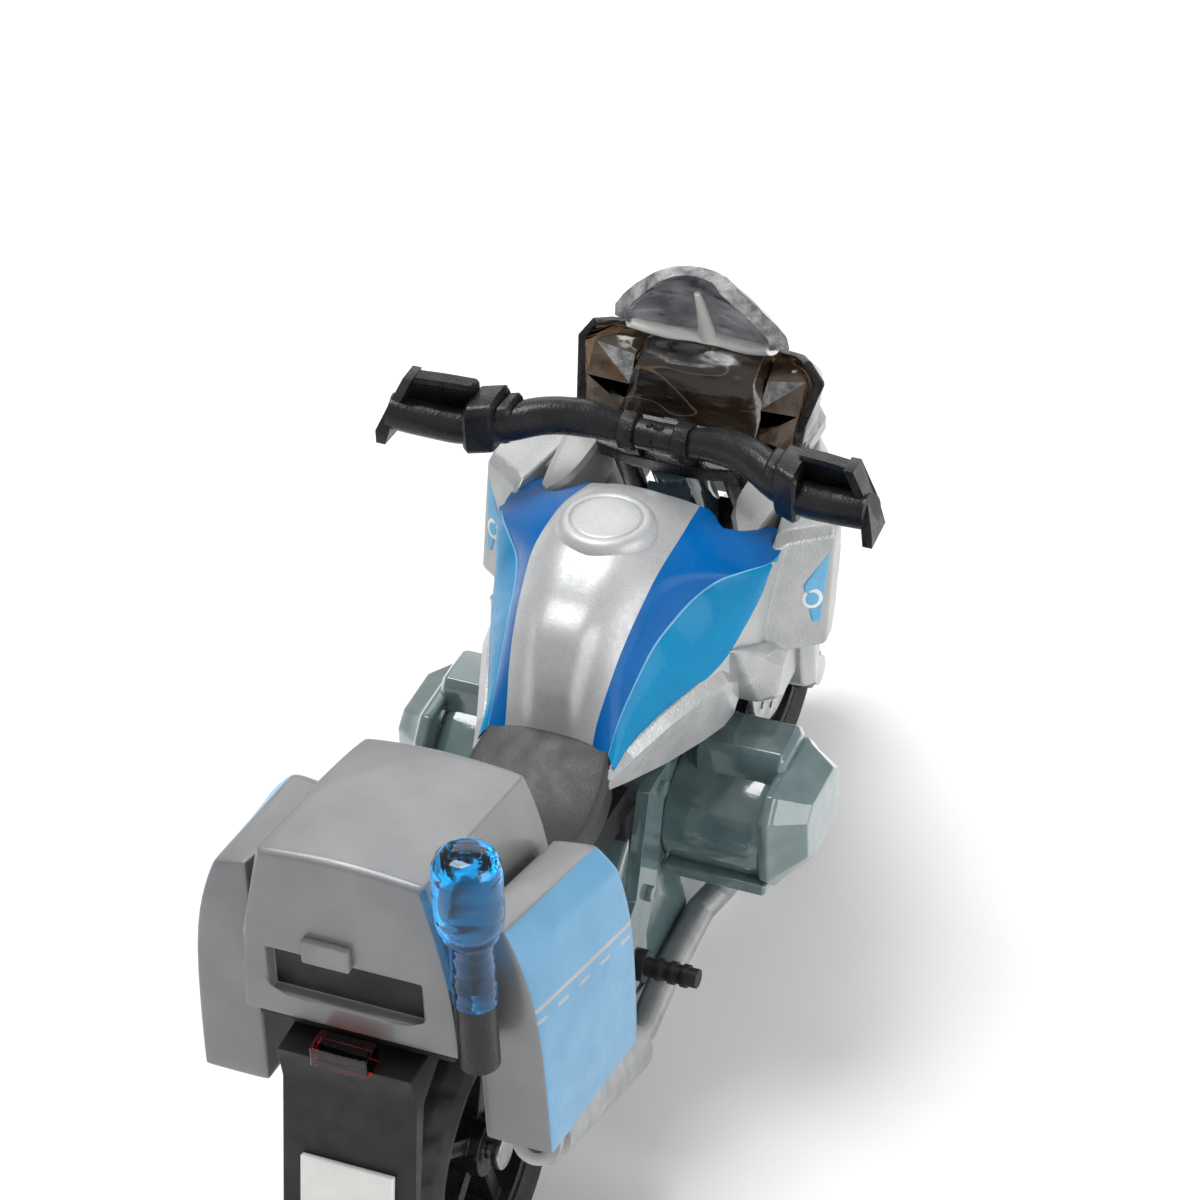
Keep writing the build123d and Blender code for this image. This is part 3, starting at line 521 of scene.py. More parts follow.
for side, side_name in SIDES:
    stations = (
        # x, inner y, outer y, high z, low z
        (-7.1, 4.0, 4.35, 27.1, 25.9),
        (-5.0, 4.2, 5.0, 27.5, 25.2),
        (-2.0, 4.4, 6.1, 28.2, 24.5),
        (1.2, 4.6, 7.25, 28.5, 24.1),
        (3.2, 4.7, 7.75, 28.1, 23.8),
        (4.9, 4.8, 7.7, 26.6, 23.4),
        (6.3, 4.8, 7.4, 24.9, 23.2),
    )
    rings = []
    for x, y_in, y_out, z_high, z_low in stations:
        deep = z_high - z_low
        ring = [(x, y_in, z_high), (x, y_out - 0.45, z_high), (x, y_out, z_high - 0.2 * deep),
                (x, y_out - 0.12, z_high - 0.6 * deep), (x, y_out - 0.35, z_low), (x, y_in, z_low)]
        rings.append(flip(ring, side))
    verts, faces = loft(rings)
    soften(piece(f"side_panel_{side_name}", "body", verts, faces, [SILVER_CAST],
                 replaces=[f"side_cover_{side_name}"]), 0.35, 0, angle=14)

    fairing = Patchwork()
    blade = []
    for z, tank_side, ridge, outside, depth in (
            (25.7, (6.7, 7.6), (8.4, 8.5), (10.3, 11.1), 12.4), (26.0, (6.4, 7.6), (8.2, 8.4),
                    (10.3, 11.3), 13.0),
            (27.5, (5.2, 7.6), (8.4, 8.1), (10.7, 11.3), 14.0), (29.3, (4.4, 7.8), (9.0, 8.3),
                    (11.1, 11.3), 14.6),
            (31.2, (6.9, 8.2), (9.6, 8.6), (11.6, 11.3), 15.0), (32.7, (8.7, 8.3), (10.3, 8.9),
                    (12.0, 11.3), 15.0),
            (33.3, (10.4, 8.2), (11.2, 9.0), (12.4, 11.0), 14.8)):
        ring = [(*tank_side, z), (*ridge, z), (*outside, z), (0.5 * (outside[0] + depth), 11.2, z),
                (depth, 10.2, z), (depth, 7.3, z)]
        blade.append(flip(ring, side))
    fairing.add(*loft(blade))
    flank = []
    for x, y_in, y_top, y_out, z_low, z_mid, z_high in (
            (12.6, 7.6, 9.8, 10.6, 26.0, 29.4, 32.9), (15.0, 7.0, 9.2, 10.3, 25.6, 29.6, 33.2),
            (17.6, 6.2, 8.3, 9.4, 25.8, 29.8, 33.4),
            (20.4, 4.9, 7.2, 8.3, 26.2, 29.6, 33.4), (22.6, 4.6, 5.9, 6.8, 26.8, 29.4, 33.2)):
        flank.append(flip([(x, y_in, z_low), (x, 0.5 * (y_in + y_out), z_low - 0.1), (x, y_out, z_mid - 1.2),
                           (x, y_out, z_mid + 1.6), (x, y_top, z_high), (x, y_in, z_high)], side))
    fairing.add(*loft(flank))
    lobe = [[(x + 12.7, y * side, z) for x, y in ((-2.0 * k, 7.6), (-1.7 * k, 9.4), (-0.6 * k, 9.9),
                                                  (0.9 * k, 9.7), (1.9 * k, 8.9), (2.1 * k, 7.6))]
            for z, k in ((26.4, 1.0), (23.2, 1.0), (21.4, 0.86), (20.8, 0.55))]
    fairing.add(*loft(lobe))
    facing = Vector((-0.794, 0.575 * side, 0.196))
    mark = [Vector((x, y * side, z)) for x, y, z in ((11.85, 11.15, 32.1), (10.25, 9.85, 29.9),
                                                     (10.1, 10.4, 27.4), (10.45, 10.9, 27.3))]
    fairing.add(*loft([[p + facing * lift for p in mark] for lift in (-0.4, 0.12)]), pick=1)
    spread = Vector((0.587, 0.81 * side, 0))
    rise = facing.cross(spread).normalized()
    for radius, lift, pick in ((0.72, 0.17, 2), (0.5, 0.2, 1)):
        round_mark = [Vector((10.46, 10.33 * side, 28.95)) + spread * radius * math.cos(a) + rise
                      * radius * math.sin(a)
                      for a in [2 * math.pi * k / 28 for k in range(28)]]
        fairing.add(*loft([[p + facing * d for p in round_mark] for d in (-0.3, lift)]), pick=pick)
    soften(piece(f"fairing_{side_name}", "body", fairing.verts, fairing.faces,
                 [SILVER_CAST, BLUE_PALE_PRINT_AND_GLINT, PLATE],
                 fairing.picks, sharp=40, replaces=[f"wing_{side_name}"]), 0.22)

    lower = Patchwork()
    lower.add(*loft([
        flip([(3.3, 7.0, 29.1), (4.9, 7.0, 25.3), (6.1, 7.0, 23.6), (12.0, 7.0, 21.8), (15.4, 6.4, 21.6),
              (15.4, 6.4, 25.2), (9.0, 7.0, 26.4)], side),
        flip([(3.9, 8.0, 29.3), (5.3, 8.2, 25.5), (6.2, 8.3, 23.5), (10.8, 8.4, 22.2), (14.6, 7.6, 21.6),
              (14.6, 7.6, 25.2), (9.0, 8.2, 26.3)], side),
        flip([(6.6, 8.6, 27.0), (7.3, 9.4, 25.7), (6.7, 9.4, 23.8), (7.8, 9.4, 23.0), (10.6, 9.2, 22.8),
              (10.6, 9.2, 25.6), (9.0, 9.0, 26.2)], side)]))
    soften(piece(f"duct_{side_name}", "body", lower.verts, lower.faces, [SILVER_CAST],
                 replaces=[f"radiator_duct_{side_name}"]), 0.25, 0, angle=18)

    intake = []
    for x, y_in, y_out, z_low, z_high in ((8.8, 6.3, 6.8, 33.3, 33.8), (10.6, 5.2, 7.0, 32.2, 34.0),
                                          (12.0, 4.9, 7.2, 31.0, 34.2),
                                          (14.4, 4.9, 7.5, 30.4, 34.0), (16.8, 5.0, 7.9, 30.4, 33.9)):
        intake.append(flip([(x, y_in, z_low), (x, y_out, z_low), (x, y_out, z_high - 0.7),
                            (x, y_out - 0.5, z_high - 0.3),
                            (x, y_in + 0.2, z_high), (x, y_in, z_high - 0.4)], side))
    verts, faces = loft(intake)
    soften(piece(f"inner_fairing_{side_name}", "body", verts, faces, [SILVER_PLASTIC],
                 replaces=[f"intake_{side_name}"]), 0.3, 2, angle=24)


# ---------------------------------------------------------------- seat

seat_stations = (
    # x, half width, top edge z, crown z, bottom z
    (-5.6, 3.95, 28.0, 28.35, 24.0),
    (-6.4, 4.1, 27.75, 28.1, 24.0),
    (-7.6, 4.4, 27.2, 27.6, 24.0),
    (-9.6, 4.5, 26.4, 26.9, 24.0),
    (-11.6, 4.4, 26.1, 26.6, 24.1),
    (-14.0, 4.2, 26.6, 27.0, 24.3),
    (-17.0, 4.2, 27.5, 27.9, 24.9),
    (-19.0, 4.2, 28.1, 28.4, 25.3),
)
rings = []
for x, half, z_edge, z_crown, z_low in seat_stations:
    rings.append([(x, -half + 0.15, z_low), (x, -half, z_edge - 0.6), (x, -half + 0.25, z_edge),
                  (x, -half * 0.5, z_crown - 0.1),
                  (x, 0, z_crown), (x, half * 0.5, z_crown - 0.1), (x, half - 0.25, z_edge),
                  (x, half, z_edge - 0.6),
                  (x, half - 0.15, z_low)])
verts, faces = loft(rings)
soften(piece("saddle", "body", verts, faces, [SEAT_GREY], replaces=["seat"]), 0.15, 2)


# ---------------------------------------------------------------- radio box, panniers and rack

BOX_SLOPE = -0.2035


def rack_z(x):
    """Height of the rack's upper face."""
    return 24.0 + BOX_SLOPE * (x + 14.0) + 0.7


rings = []
for x, inset, drop in ((-19.3, 0.55, 0.5), (-19.7, 0.12, 0.12), (-22.0, 0.0, -0.02), (-26.0, 0.0, -0.14),
                       (-30.0, 0.0, -0.1),
                       (-32.9, 0.0, 0.0), (-33.3, 0.25, 0.3)):
    share = (-19.3 - x) / 14.0
    top, shoulder = 37.4 + 2.9 * share - drop, 33.2 + 0.7 * share
    half = [(0, top + 0.4), (1.8, top + 0.35), (3.6, top + 0.18), (4.9 - inset, top),
            (6.25 - inset * 0.5, shoulder),
            (6.42 - inset * 0.5, rack_z(x) + 0.05)]
    rings.append([Vector((x, y, z)) for y, z in half] + [Vector((x, -y, z)) for y, z in reversed(half)
                                                         if y > 0])
verts, faces = loft(rings, cap=False)
n = len(rings[0])
faces.append(tuple(range(n - 1, -1, -1)))
rim = rings[-1]
hole = [Vector((-33.3, y, z)) for y, z in ((0, 33.4), (1.6, 33.4), (3.2, 33.4), (4.8, 33.4), (4.8, 31.8),
                                           (4.8, 30.3),
                                           (-4.4, 30.3), (-4.4, 31.8), (-4.4, 33.4), (-3.2, 33.4),
                                           (-1.6, 33.4))]
deep = [Vector((-32.6, p.y * 0.96, 31.85 + (p.z - 31.85) * 0.94)) for p in hole]
start = len(verts)
verts += hole + deep
rim_start = (len(rings) - 1) * n
for i in range(n):
    j = (i + 1) % n
    faces.append((rim_start + i, rim_start + j, start + j, start + i))
    faces.append((start + i, start + j, start + n + j, start + n + i))
faces.append(tuple(start + n + i for i in range(n)))
picks = [0] * len(faces)
picks[-1] = 1
soften(piece("radio_case", "body", verts, faces, [BOX_GREY, BLACK_SOFT], picks,
             replaces=["radio_box"]),
       0.34, 2, angle=24)

panel = Finish("box_print", Metallic=0.2, Coat_Weight=0.2)
x_mm, z_mm = panel.axis("X"), panel.axis("Z")
level = panel.math("ADD", z_mm, panel.math("MULTIPLY", x_mm, 0.22))
grey = panel.ramp(panel.noise(3.0), ((0.3, (0.34, 0.34, 0.345)), (0.7, (0.42, 0.42, 0.42))))
blue = panel.ramp(panel.noise(3.0), ((0.3, (0.10, 0.29, 0.48)), (0.7, (0.13, 0.34, 0.54))))
line = panel.math("LESS_THAN", panel.math("ABSOLUTE", panel.math("SUBTRACT", level, 24.6)), 0.14)
dash_row = panel.math("LESS_THAN", panel.math("ABSOLUTE", panel.math("SUBTRACT", level, 23.8)), 0.12)
dash_step = panel.math("GREATER_THAN", panel.math("SINE", panel.math("MULTIPLY", x_mm, 2.6)), 0.1)
marks = panel.math("MAXIMUM", line, panel.math("MULTIPLY", dash_row, dash_step))
panel.colour(panel.mix(marks, blue, grey))
panel.roughness(panel.noise(1.0), 0.3, 0.42)
panel.relief(panel.noise(0.14), 0.006)

for side, side_name in SIDES:
    rings = []
    for x, share in ((-19.8, 0.0), (-20.3, 0.04), (-23.5, 0.32), (-27.5, 0.67), (-31.3, 1.0)):
        def between(a, b):
            return a + (b - a) * share
        pull = 0.35 if x == -19.8 else 0.0
        ring = [(x, 6.5, between(20.0, 21.0) + pull), (x, 6.5, between(33.6, 37.3) - pull),
                (x, between(9.2, 8.6) - pull, between(34.0, 36.8) - pull), (x, between(10.5, 9.3) - pull,
                        between(32.6, 35.0) - pull),
                (x, between(11.3, 10.4) - pull, between(28.8, 31.0)), (x, between(11.2, 10.6) - pull,
                        between(20.0, 21.0) + pull)]
        rings.append(flip(ring, side))
    verts, faces = loft(rings)
    picks = [0] * len(faces)
    for r in range(len(rings) - 1):
        for i in (2, 3, 4):
            picks[r * 6 + i] = 1
    soften(piece(f"side_case_{side_name}", "body", verts, faces,
                 [BOX_GREY, panel.material], picks,
                 replaces=[f"pannier_{side_name}"]), 0.3, 2, angle=16)


# ---------------------------------------------------------------- beacon

BEACON_AT = (-33.2, -7.5, 0.0)
lens = [(0.001, 43.75), (0.7, 43.72), (1.25, 43.6), (1.62, 43.3), (1.84, 42.8), (1.9, 42.2), (1.9, 40.2),
        (1.88, 39.2),
        (1.8, 38.75), (1.55, 38.5), (1.5, 38.4), (1.55, 38.25), (1.55, 38.05), (1.35, 37.9),
        (1.25, 37.6), (1.22, 35.5),
        (1.22, 33.4), (0.001, 33.4)]
verts, faces = lathe(lens, BEACON_AT, 64)
piece("beacon_dome", "body", verts, faces, [BEACON], sharp=60, replaces=["beacon_lens"])


# ---------------------------------------------------------------- cylinders

COVER_INNER = [(0.6, 14.2), (6.8, 14.2), (8.0, 15.6), (8.0, 20.0), (6.8, 21.4), (0.6, 21.4),
               (-0.6, 20.0), (-0.6, 15.6)]
COVER_OUTER = [(2.2, 16.0), (5.8, 16.0), (6.8, 16.8), (6.8, 19.4), (5.8, 20.2), (2.2, 20.2), (1.2, 19.4),
               (1.2, 16.8)]

for side, side_name in SIDES:
    lie = Matrix.Rotation(math.radians(-27), 3, "Y")
    rings = []
    for y, a, b in ((4.4, 3.85, 3.0), (4.7, 4.0, 3.1), (7.0, 4.05, 3.15), (9.9, 4.05, 3.15),
                    (10.6, 3.95, 3.05), (10.9, 3.6, 2.8)):
        hub = Vector((3.7, side * y, 17.35))
        rings.append([hub + lie @ (p - hub) for p in oval((3.7, 17.35), a, b, side * y, 2.3)])
    cylinder = Patchwork()
    cylinder.add(*loft(rings))
    for outline, y_from, y_to, grow in (
            ([(2.7, 19.2), (2.9, 21.7), (3.4, 22.4), (6.2, 22.4), (6.9, 21.9), (7.1, 19.2)], 5.4, 11.3, 0.35),
            ([(-0.4, 15.1), (7.6, 15.1), (7.6, 14.3), (-0.4, 14.3)], 4.6, 11.2, 0.15)):
        cx = sum(x for x, _ in outline) / len(outline)
        cz = sum(z for _, z in outline) / len(outline)
        block = []
        for y, shrink in ((y_from, grow), (y_from + grow, 0.0), (y_to - grow, 0.0), (y_to, grow)):
            block.append([Vector((x - math.copysign(shrink, x - cx), y * side,
                                  z - math.copysign(shrink, z - cz))) for x, z in outline])
        cylinder.add(*loft(block))
    soften(piece(f"barrel_{side_name}", "body", cylinder.verts, cylinder.faces,
                 [ENAMEL], sharp=75,
                 replaces=[f"cylinder_{side_name}"]), 0.22, angle=40)
    rings = []
    for y, share, grow in ((10.7, 0.05, -0.25), (10.9, 0.05, 0.0), (11.45, 0.05, 0.0), (11.7, 0.2, -0.1),
                           (13.4, 1.0, 0.0)):
        ring = []
        for (xa, za), (xb, zb) in zip(COVER_INNER, COVER_OUTER):
            x, z = xa + (xb - xa) * share, za + (zb - za) * share
            out = Vector((x - 3.7, 0, z - 17.8)).normalized() * grow
            ring.append(Vector((x + out.x, y * side, z + out.z)))
        rings.append(ring)
    verts, faces = loft(rings)
    soften(piece(f"head_cover_{side_name}", "body", verts, faces, [ENAMEL], sharp=50,
                 replaces=[f"valve_cover_{side_name}"]), 0.4, 2, angle=18)


# ---------------------------------------------------------------- handlebar

bars = Patchwork()
bar_line = [(12.0, 0, 37.3), (12.0, 2.2, 37.4), (11.6, 4.4, 37.9), (10.6, 6.6, 38.25), (9.2, 8.8, 38.1),
            (8.2, 10.8, 38.1),
            (7.6, 13.0, 38.5), (7.2, 15.3, 38.9)]
for side, _ in SIDES:
    path = flip(smooth_line(bar_line, 60), side)
    radii = []
    for p in path:
        y = abs(p.y)
        radius = 0.92 + 0.24 * max(0.0, min(1.0, (y - 2.2) / 2.2))
        radii.append(radius if y < 9.4 else 1.1)
    bars.add(*tube(path, radii))
    for y_a, y_b, half in ((8.1, 9.1, 1.35), (8.9, 10.6, 1.8)):
        squares = []
        for y, k in ((y_a, 0.86), (y_a + 0.2, 1.0), (y_b - 0.25, 1.0), (y_b, 0.88)):
            x_mid = 9.55 - 0.45 * (y - 8.6)
            squares.append(oval((x_mid, 38.3), half * k * 0.92, half * k, y * side, 4.5, 16))
        bars.add(*loft(squares))
    clamp = [Vector((12.0, side * (1.74 + d), 37.38)) for d in (-0.55, -0.42, 0, 0.42, 0.55)]
    bars.add(*tube(clamp, [1.0, 1.22, 1.22, 1.22, 1.0], steps=10))
    bars.add(*loft([[Vector((x + dx, side * (1.74 + dy), z)) for dx, dy in ((-0.8, -0.45), (0.8, -0.45),
            (0.8, 0.45), (-0.8, 0.45))]
                    for x, z in ((13.1, 35.4), (12.1, 37.4))]))
    shell = []
    for y_top, y_low, x, z_low, z_high in ((10.4, 10.4, 9.8, 37.0, 40.95), (12.3, 12.6, 9.3, 37.0, 41.25),
                                           (13.7, 14.8, 8.8, 37.0, 41.5), (14.1, 15.4, 8.6, 37.1, 41.5)):
        shell.append(flip([(x, y_low, z_low), (x - 0.1, y_top, z_high - 0.5), (x - 0.5, y_top, z_high),
                           (x - 1.35, y_top, z_high),
                           (x - 1.35, y_top, z_high - 0.4), (x - 0.75, y_top, z_high - 0.7),
                           (x - 0.6, y_low, z_low)], side))
    bars.add(*loft(shell))
    plate = [flip([(x, y - dy, z) for x, y, z in ((6.0, 15.75, 37.2), (8.8, 15.6, 37.1),
                                                  (8.8, 15.1, 39.0), (8.6, 14.2, 41.5),
                                                  (7.1, 14.2, 41.55), (6.9, 15.2, 39.5),
                                                  (6.0, 15.75, 38.1))], side)
             for dy in (0.6, 0.0)]
    bars.add(*loft(plate))
for y, z, r in ((-0.3, 38.2, 0.28), (0.4, 38.15, 0.22), (0.0, 38.25, 0.2)):
    knob, knob_faces = lathe([(0.001, -0.5), (r, -0.5), (r, 0.05), (r * 0.6, 0.16), (0.001, 0.18)],
                             (11.8, y, z), 12)
    bars.add(knob, knob_faces)
made = piece("bars", "steering", bars.verts, bars.faces, [BLACK], sharp=50,
             replaces=["handlebar"])
soften(made, 0.14, 0, angle=34)


# ---------------------------------------------------------------- windscreen

def open_shell(levels, walls):
    """A wall standing round the front: each level lists points from the left rear edge to the middle."""
    outers, inners = [], []
    for half, wall in zip(levels, walls):
        line = [Vector(p) for p in half] + [Vector((x, -y, z)) for x, y, z in reversed(half[:-1])]
        inner = []
        for i, p in enumerate(line):
            ahead = line[min(i + 1, len(line) - 1)] - line[max(i - 1, 0)]
            out = Vector((ahead.y, -ahead.x, 0)).normalized()
            out = -out if out.dot(Vector((p.x - 18.0, p.y, 0))) < 0 else out
            inner.append(p - out * wall)
        outers.append(line)
        inners.append(inner)
    n, m = len(outers[0]), len(levels)
    verts = [p for line in outers + inners for p in line]
    faces, picks = [], []
    for k in range(m - 1):
        for i in range(n - 1):
            a, b = k * n + i, (m + k) * n + i
            faces += [(a, a + 1, a + n + 1, a + n), (b, b + n, b + n + 1, b + 1)]
            picks += [0, 0]
        for i in (0, n - 1):
            a, b = k * n + i, (m + k) * n + i
            faces.append((a, b, b + n, a + n))
            picks.append(1)
    for k in (0, m - 1):
        for i in range(n - 1):
            a, b = k * n + i, (m + k) * n + i
            faces.append((a, a + 1, b + 1, b))
            picks.append(1)
    return verts, faces, picks


verts, faces, picks = open_shell((
    ((16.6, 7.3, 34.3), (19.4, 7.5, 34.3), (23.2, 5.6, 34.3), (25.2, 2.4, 34.3), (25.8, 0, 34.3)),
    ((17.4, 7.5, 36.2), (19.9, 7.5, 36.2), (23.0, 5.2, 36.0), (24.4, 2.2, 35.9), (24.9, 0, 35.9)),
    ((19.2, 8.1, 38.2), (20.8, 7.3, 38.0), (22.6, 4.9, 37.3), (23.4, 2.0, 37.0), (23.7, 0, 37.0)),
    ((19.4, 7.1, 39.6), (20.6, 6.2, 39.1), (21.9, 4.0, 38.3), (22.5, 1.8, 38.0), (22.7, 0, 38.0)),
), (0.75, 0.7, 0.7, 0.6))
made = piece("screen", "body", verts, faces, [SMOKE, SMOKE_EDGE], picks,
             replaces=["windscreen"])
soften(made, 0.14, 0, angle=26)

tray = Patchwork()
for side, _ in SIDES:
    wall = flip([(16.7, 6.7, 34.5), (17.6, 6.9, 36.6), (19.2, 6.9, 38.1), (21.6, 5.0, 38.0)], side)
    base = flip([(17.4, 4.1, 34.5), (18.1, 4.2, 36.0), (19.3, 4.3, 37.5), (21.4, 4.0, 37.7)], side)
    thick = Vector((0.3, 0, -0.25))
    # The second triangle of the middle pair takes the light frosted smoke: a painted highlight on that facet.
    for i in range(3):
        for corners, pick in (((wall[i], wall[i + 1], base[i]), 0), ((wall[i + 1], base[i + 1], base[i]),
                int(i == 1))):
            tray.add(*loft([corners, [p + thick for p in corners]]), pick=pick)
soften(piece("screen_facets", "body", tray.verts, tray.faces, [TRAY, SMOKE_FROST_AND_GLINT],
             tray.picks, sharp=20), 0.04, angle=20)

verts, faces, picks = open_shell((
    ((19.5, 5.7, 40.0), (20.7, 5.2, 39.2), (21.7, 3.6, 38.4), (22.3, 1.6, 38.1), (22.5, 0, 38.1)),
    ((19.4, 5.6, 40.9), (20.3, 5.1, 40.6), (21.2, 3.6, 40.2), (21.6, 1.5, 40.1), (21.8, 0, 40.1)),
    ((19.1, 4.9, 42.0), (19.9, 4.3, 41.9), (20.7, 3.0, 41.8), (21.1, 1.3, 41.8), (21.2, 0, 41.8)),
    ((18.8, 3.9, 43.2), (19.4, 3.4, 43.2), (20.1, 2.4, 43.3), (20.5, 1.0, 43.3), (20.6, 0, 43.3)),
    ((18.6, 2.7, 44.3), (19.0, 2.3, 44.4), (19.5, 1.7, 44.45), (19.8, 0.8, 44.5), (19.9, 0, 44.5)),
), (1.2, 1.2, 1.2, 1.2, 1.1))
shield = Patchwork()
shield.add(verts, faces)
shield.picks = list(picks)
# The rim and spine beads are light-coloured stand-ins for reflections: painted highlights on the visor.
rim = smooth_line([(19.3, 4.7, 39.9), (20.0, 3.8, 39.3), (20.5, 2.6, 38.9), (20.7, 1.2, 38.7),
                   (20.7, 0, 38.7), (20.7, -1.2, 38.7),
                   (20.5, -2.6, 38.9), (20.0, -3.8, 39.3), (19.3, -4.7, 39.9)], 40)
shield.add(*tube(rim, [0.8 - 0.35 * abs(2 * i / 39 - 1) for i in range(40)], 14, flat=0.75), pick=2)
spine = smooth_line([(19.0, 0, 43.2), (19.5, 0, 42.0), (20.0, 0, 40.6), (20.6, 0, 38.8)], 20)
shield.add(*tube(spine, [0.22 + 0.36 * i / 19 for i in range(20)], 12), pick=2)
made = piece("visor", "body", shield.verts, shield.faces,
             [SMOKE_GREY, SMOKE_FROST_AND_GLINT, GLINT], shield.picks, sharp=35)
soften(made, 0.16, 0, angle=24)


# ---------------------------------------------------------------- dash

dash = []
for x, half, z_low, z_high in ((16.9, 4.2, 34.2, 34.9), (17.4, 4.3, 34.2, 36.0), (18.4, 4.4, 34.2, 38.0),
                               (19.8, 4.5, 34.2, 38.9),
                               (21.4, 4.3, 34.2, 38.7), (22.3, 3.6, 34.2, 37.8)):
    dash.append([Vector((x, y, z)) for y, z in ((-half, z_low), (half, z_low),
                                                (half + 0.1, 0.5 * (z_low + z_high)),
                                                (half - 0.7, z_high - 0.35),
                                               (0.9, z_high), (-0.9, z_high),
                                               (-half + 0.7, z_high - 0.35),
                                               (-half - 0.1, 0.5 * (z_low + z_high)))])
verts, faces = loft(dash)
soften(piece("dash", "body", verts, faces, [DASH], replaces=["instrument_panel"]), 0.3,
       2, angle=24)
window = [[Vector((17.0 - d, y, z)) for y, z in ((1.6, 34.5), (0.7, 34.5), (0.7, 35.0), (1.6, 35.0))]
          for d in (-0.6, 0.15)]
verts, faces = loft(window)
soften(piece("dash_window", "body", verts, faces, [TRIM_GREY]), 0.08)


# ---------------------------------------------------------------- wheels


def tyre(name, node, axle_x, half, tread_half, body):
    profile = [(7.3, -0.8 * half), (7.9, -0.95 * half), (8.7, -half), (9.4, -0.88 * half),
               (9.8, -0.62 * half),
               (10.0, -tread_half), (10.0, -0.14 * half), (10.0, 0.14 * half), (10.0, tread_half),
               (9.8, 0.62 * half),
               (9.4, 0.88 * half), (8.7, half), (7.9, 0.95 * half), (7.3, 0.8 * half)]
    steps, rings = 120, []
    for k in range(steps):
        turn = 2 * math.pi * k / steps
        ring = []
        for i, (radius, y) in enumerate(profile):
            offset = 2 if y > 0 else 0
            if 4 <= i <= 9 and (k + offset) % 5 == 0:
                radius -= 0.32
            ring.append(Vector((axle_x + radius * math.cos(turn), y, 10.0 + radius * math.sin(turn))))
        rings.append(ring)
    n = len(profile)
    verts = [p for ring in rings for p in ring]
    faces = []
    for k in range(steps):
        for i in range(n):
            j, m = (i + 1) % n, (k + 1) % steps
            faces.append((k * n + i, k * n + j, m * n + j, m * n + i))
    return piece(name, body, verts, faces, [RUBBER], sharp=50, replaces=[node])


tyre("front_tread", "front_tyre", 26.2, 2.0, 1.0, "front_wheel")
tyre("rear_tread", "rear_tyre", -21.6, 2.7, 1.5, "rear_wheel")


# ---------------------------------------------------------------- CAD nodes that stay

KEPT = {
    BLACK: ("upper_yoke", "lower_yoke", "fork_stanchions", "fork_slider_left", "fork_slider_right",
            "headlight_housing", "beacon_pole", "stand_bracket", "side_stand", "front_rim", "rear_rim"),
    BLACK_SOFT: ("luggage_rack", "rear_subframe", "rear_fender", "footpegs"),
    ENAMEL: ("engine_block", "frame_plates", "swingarm", "steering_head", "frame_screws"),
    SILVER_PLASTIC: ("nose_panel", "beak", "front_fender"),
    STEEL: ("front_axle", "rear_axle", "steering_pin", "stand_pin"),
    DISC: ("front_brake_discs", "rear_brake_disc"),
    PIPE: ("exhaust_pipes", "silencer", "sump_guard"),
    TRIM_GREY: ("box_latch",),
    CLEAR: ("headlight_lens",),
    RED: ("tail_light",),
    PLATE: ("number_plate",),
}
EDGE_MM = {"frame_screws": 0.06, "front_brake_discs": 0.03, "rear_brake_disc": 0.03, "steering_pin": 0.05,
           "sump_guard": 0.2, "engine_block": 0.35, "beak": 0.2, "headlight_housing": 0.2,
           "luggage_rack": 0.12}
for material, names in KEPT.items():
    for name in names:
        node = nodes[name]
        node.data.materials.clear()
        node.data.materials.append(material)
        for polygon in node.data.polygons:
            polygon.use_smooth = True
        weld = node.modifiers.new("weld", "WELD")
        weld.merge_threshold = 0.002 * MM
        bevel = node.modifiers.new("edges", "BEVEL")
        bevel.width = EDGE_MM.get(name, 0.1) * MM
        bevel.segments = 2
        bevel.limit_method = "ANGLE"
        bevel.angle_limit = math.radians(34)
        node.modifiers.new("shading", "WEIGHTED_NORMAL")


# ---------------------------------------------------------------- floor, light and camera

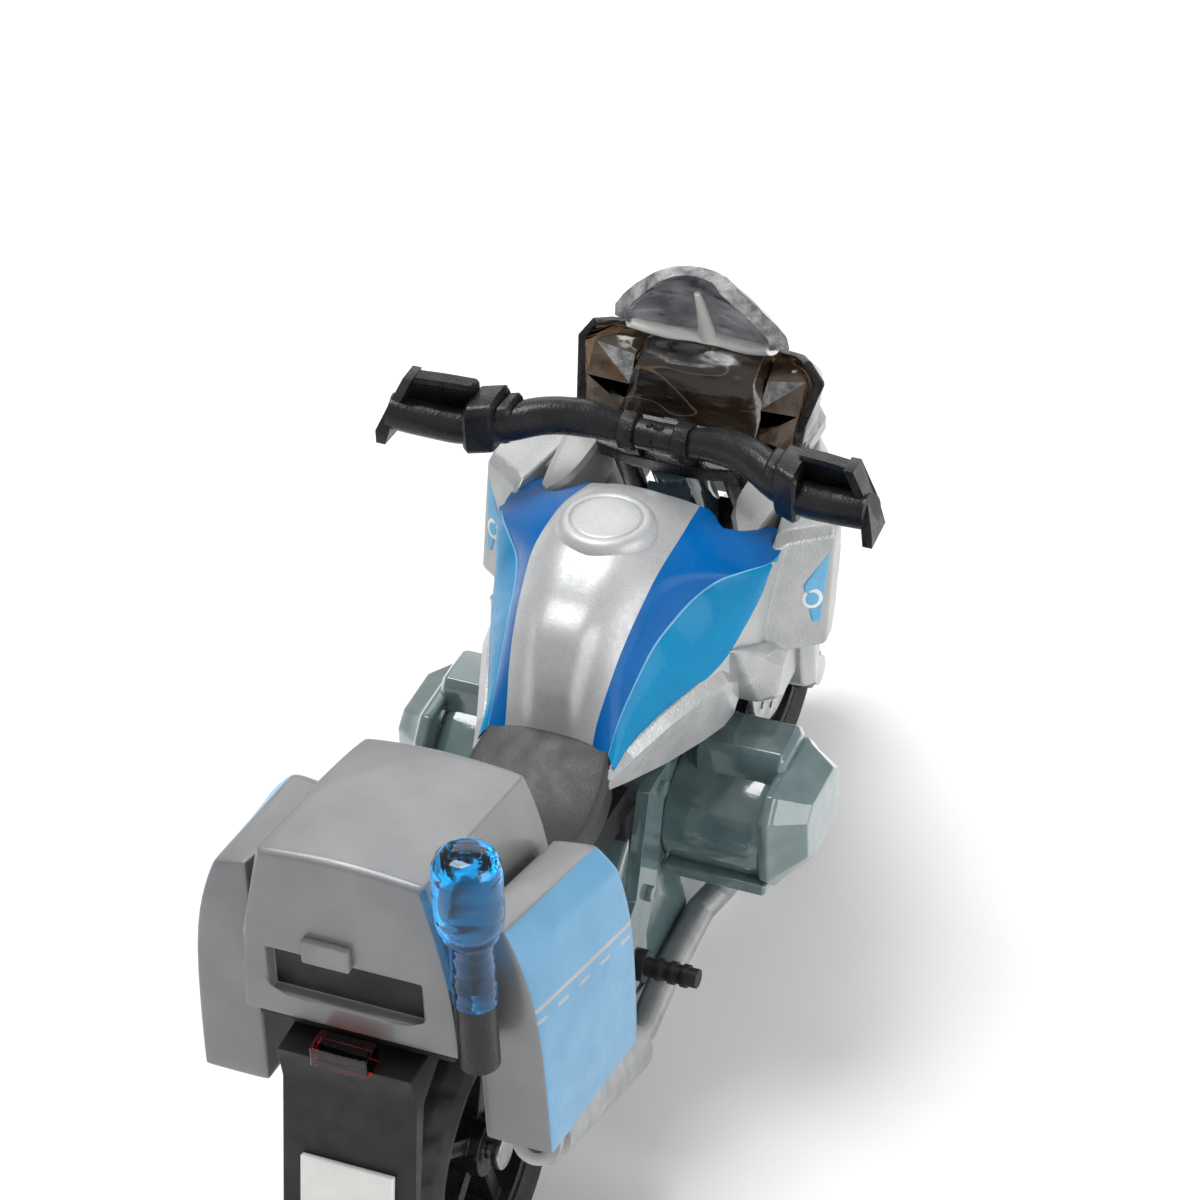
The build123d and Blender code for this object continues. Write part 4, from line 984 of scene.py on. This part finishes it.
floor = bpy.data.meshes.new("floor")
reach = 1.6
floor.from_pydata([(-reach, -reach, 0), (reach, -reach, 0), (reach, reach, 0), (-reach, reach, 0)], [],
                  [(0, 1, 2, 3)])
ground = bpy.data.objects.new("floor", floor)
bpy.context.scene.collection.objects.link(ground)
paper = Finish("paper", Roughness=0.85)
paper.colour(paper.ramp(paper.noise(40.0), ((0.3, (0.9, 0.9, 0.9)), (0.7, (0.93, 0.93, 0.93)))))
floor.materials.append(paper.material)

world = bpy.data.worlds.new("studio")
world.use_nodes = True
world.node_tree.nodes["Background"].inputs["Color"].default_value = (1.0, 1.0, 1.0, 1)
world.node_tree.nodes["Background"].inputs["Strength"].default_value = 0.56
bpy.context.scene.world = world


def softbox(name, place_mm, target_mm, width_mm, height_mm, watts):
    light = bpy.data.lights.new(name, "AREA")
    light.shape = "RECTANGLE"
    light.size, light.size_y = width_mm * MM, height_mm * MM
    light.energy = watts
    lamp = bpy.data.objects.new(name, light)
    place, target = Vector(place_mm) * MM, Vector(target_mm) * MM
    lamp.location = place
    lamp.rotation_mode = "QUATERNION"
    lamp.rotation_quaternion = (target - place).to_track_quat("-Z", "Y")
    bpy.context.scene.collection.objects.link(lamp)
    return lamp


softbox("overhead", (50, 125, 450), (0, 0, 20), 220, 230, 1.5)
softbox("right_side", (-90, -460, 170), (0, 0, 20), 360, 260, 1.0)
softbox("front_fill", (420, 120, 260), (0, 0, 20), 300, 260, 0.35)

camera = bpy.data.cameras.new("camera")
camera.lens, camera.sensor_width = 140.28, 36.0
camera.clip_start, camera.clip_end = 0.01, 10.0
viewer = bpy.data.objects.new("camera", camera)
right = Vector((0.377634, -0.925263, -0.035795))
upward = Vector((0.579774, 0.206131, 0.788272))
ahead = Vector((0.721980, 0.318431, -0.614285))
turn = Matrix((right, upward, -ahead)).transposed()
viewer.matrix_world = Matrix.Translation(Vector((-196.8035, -87.8889, 201.4932)) * MM) @ turn.to_4x4()
bpy.context.scene.collection.objects.link(viewer)
bpy.context.scene.camera = viewer
bpy.context.scene.view_settings.view_transform = "Standard"
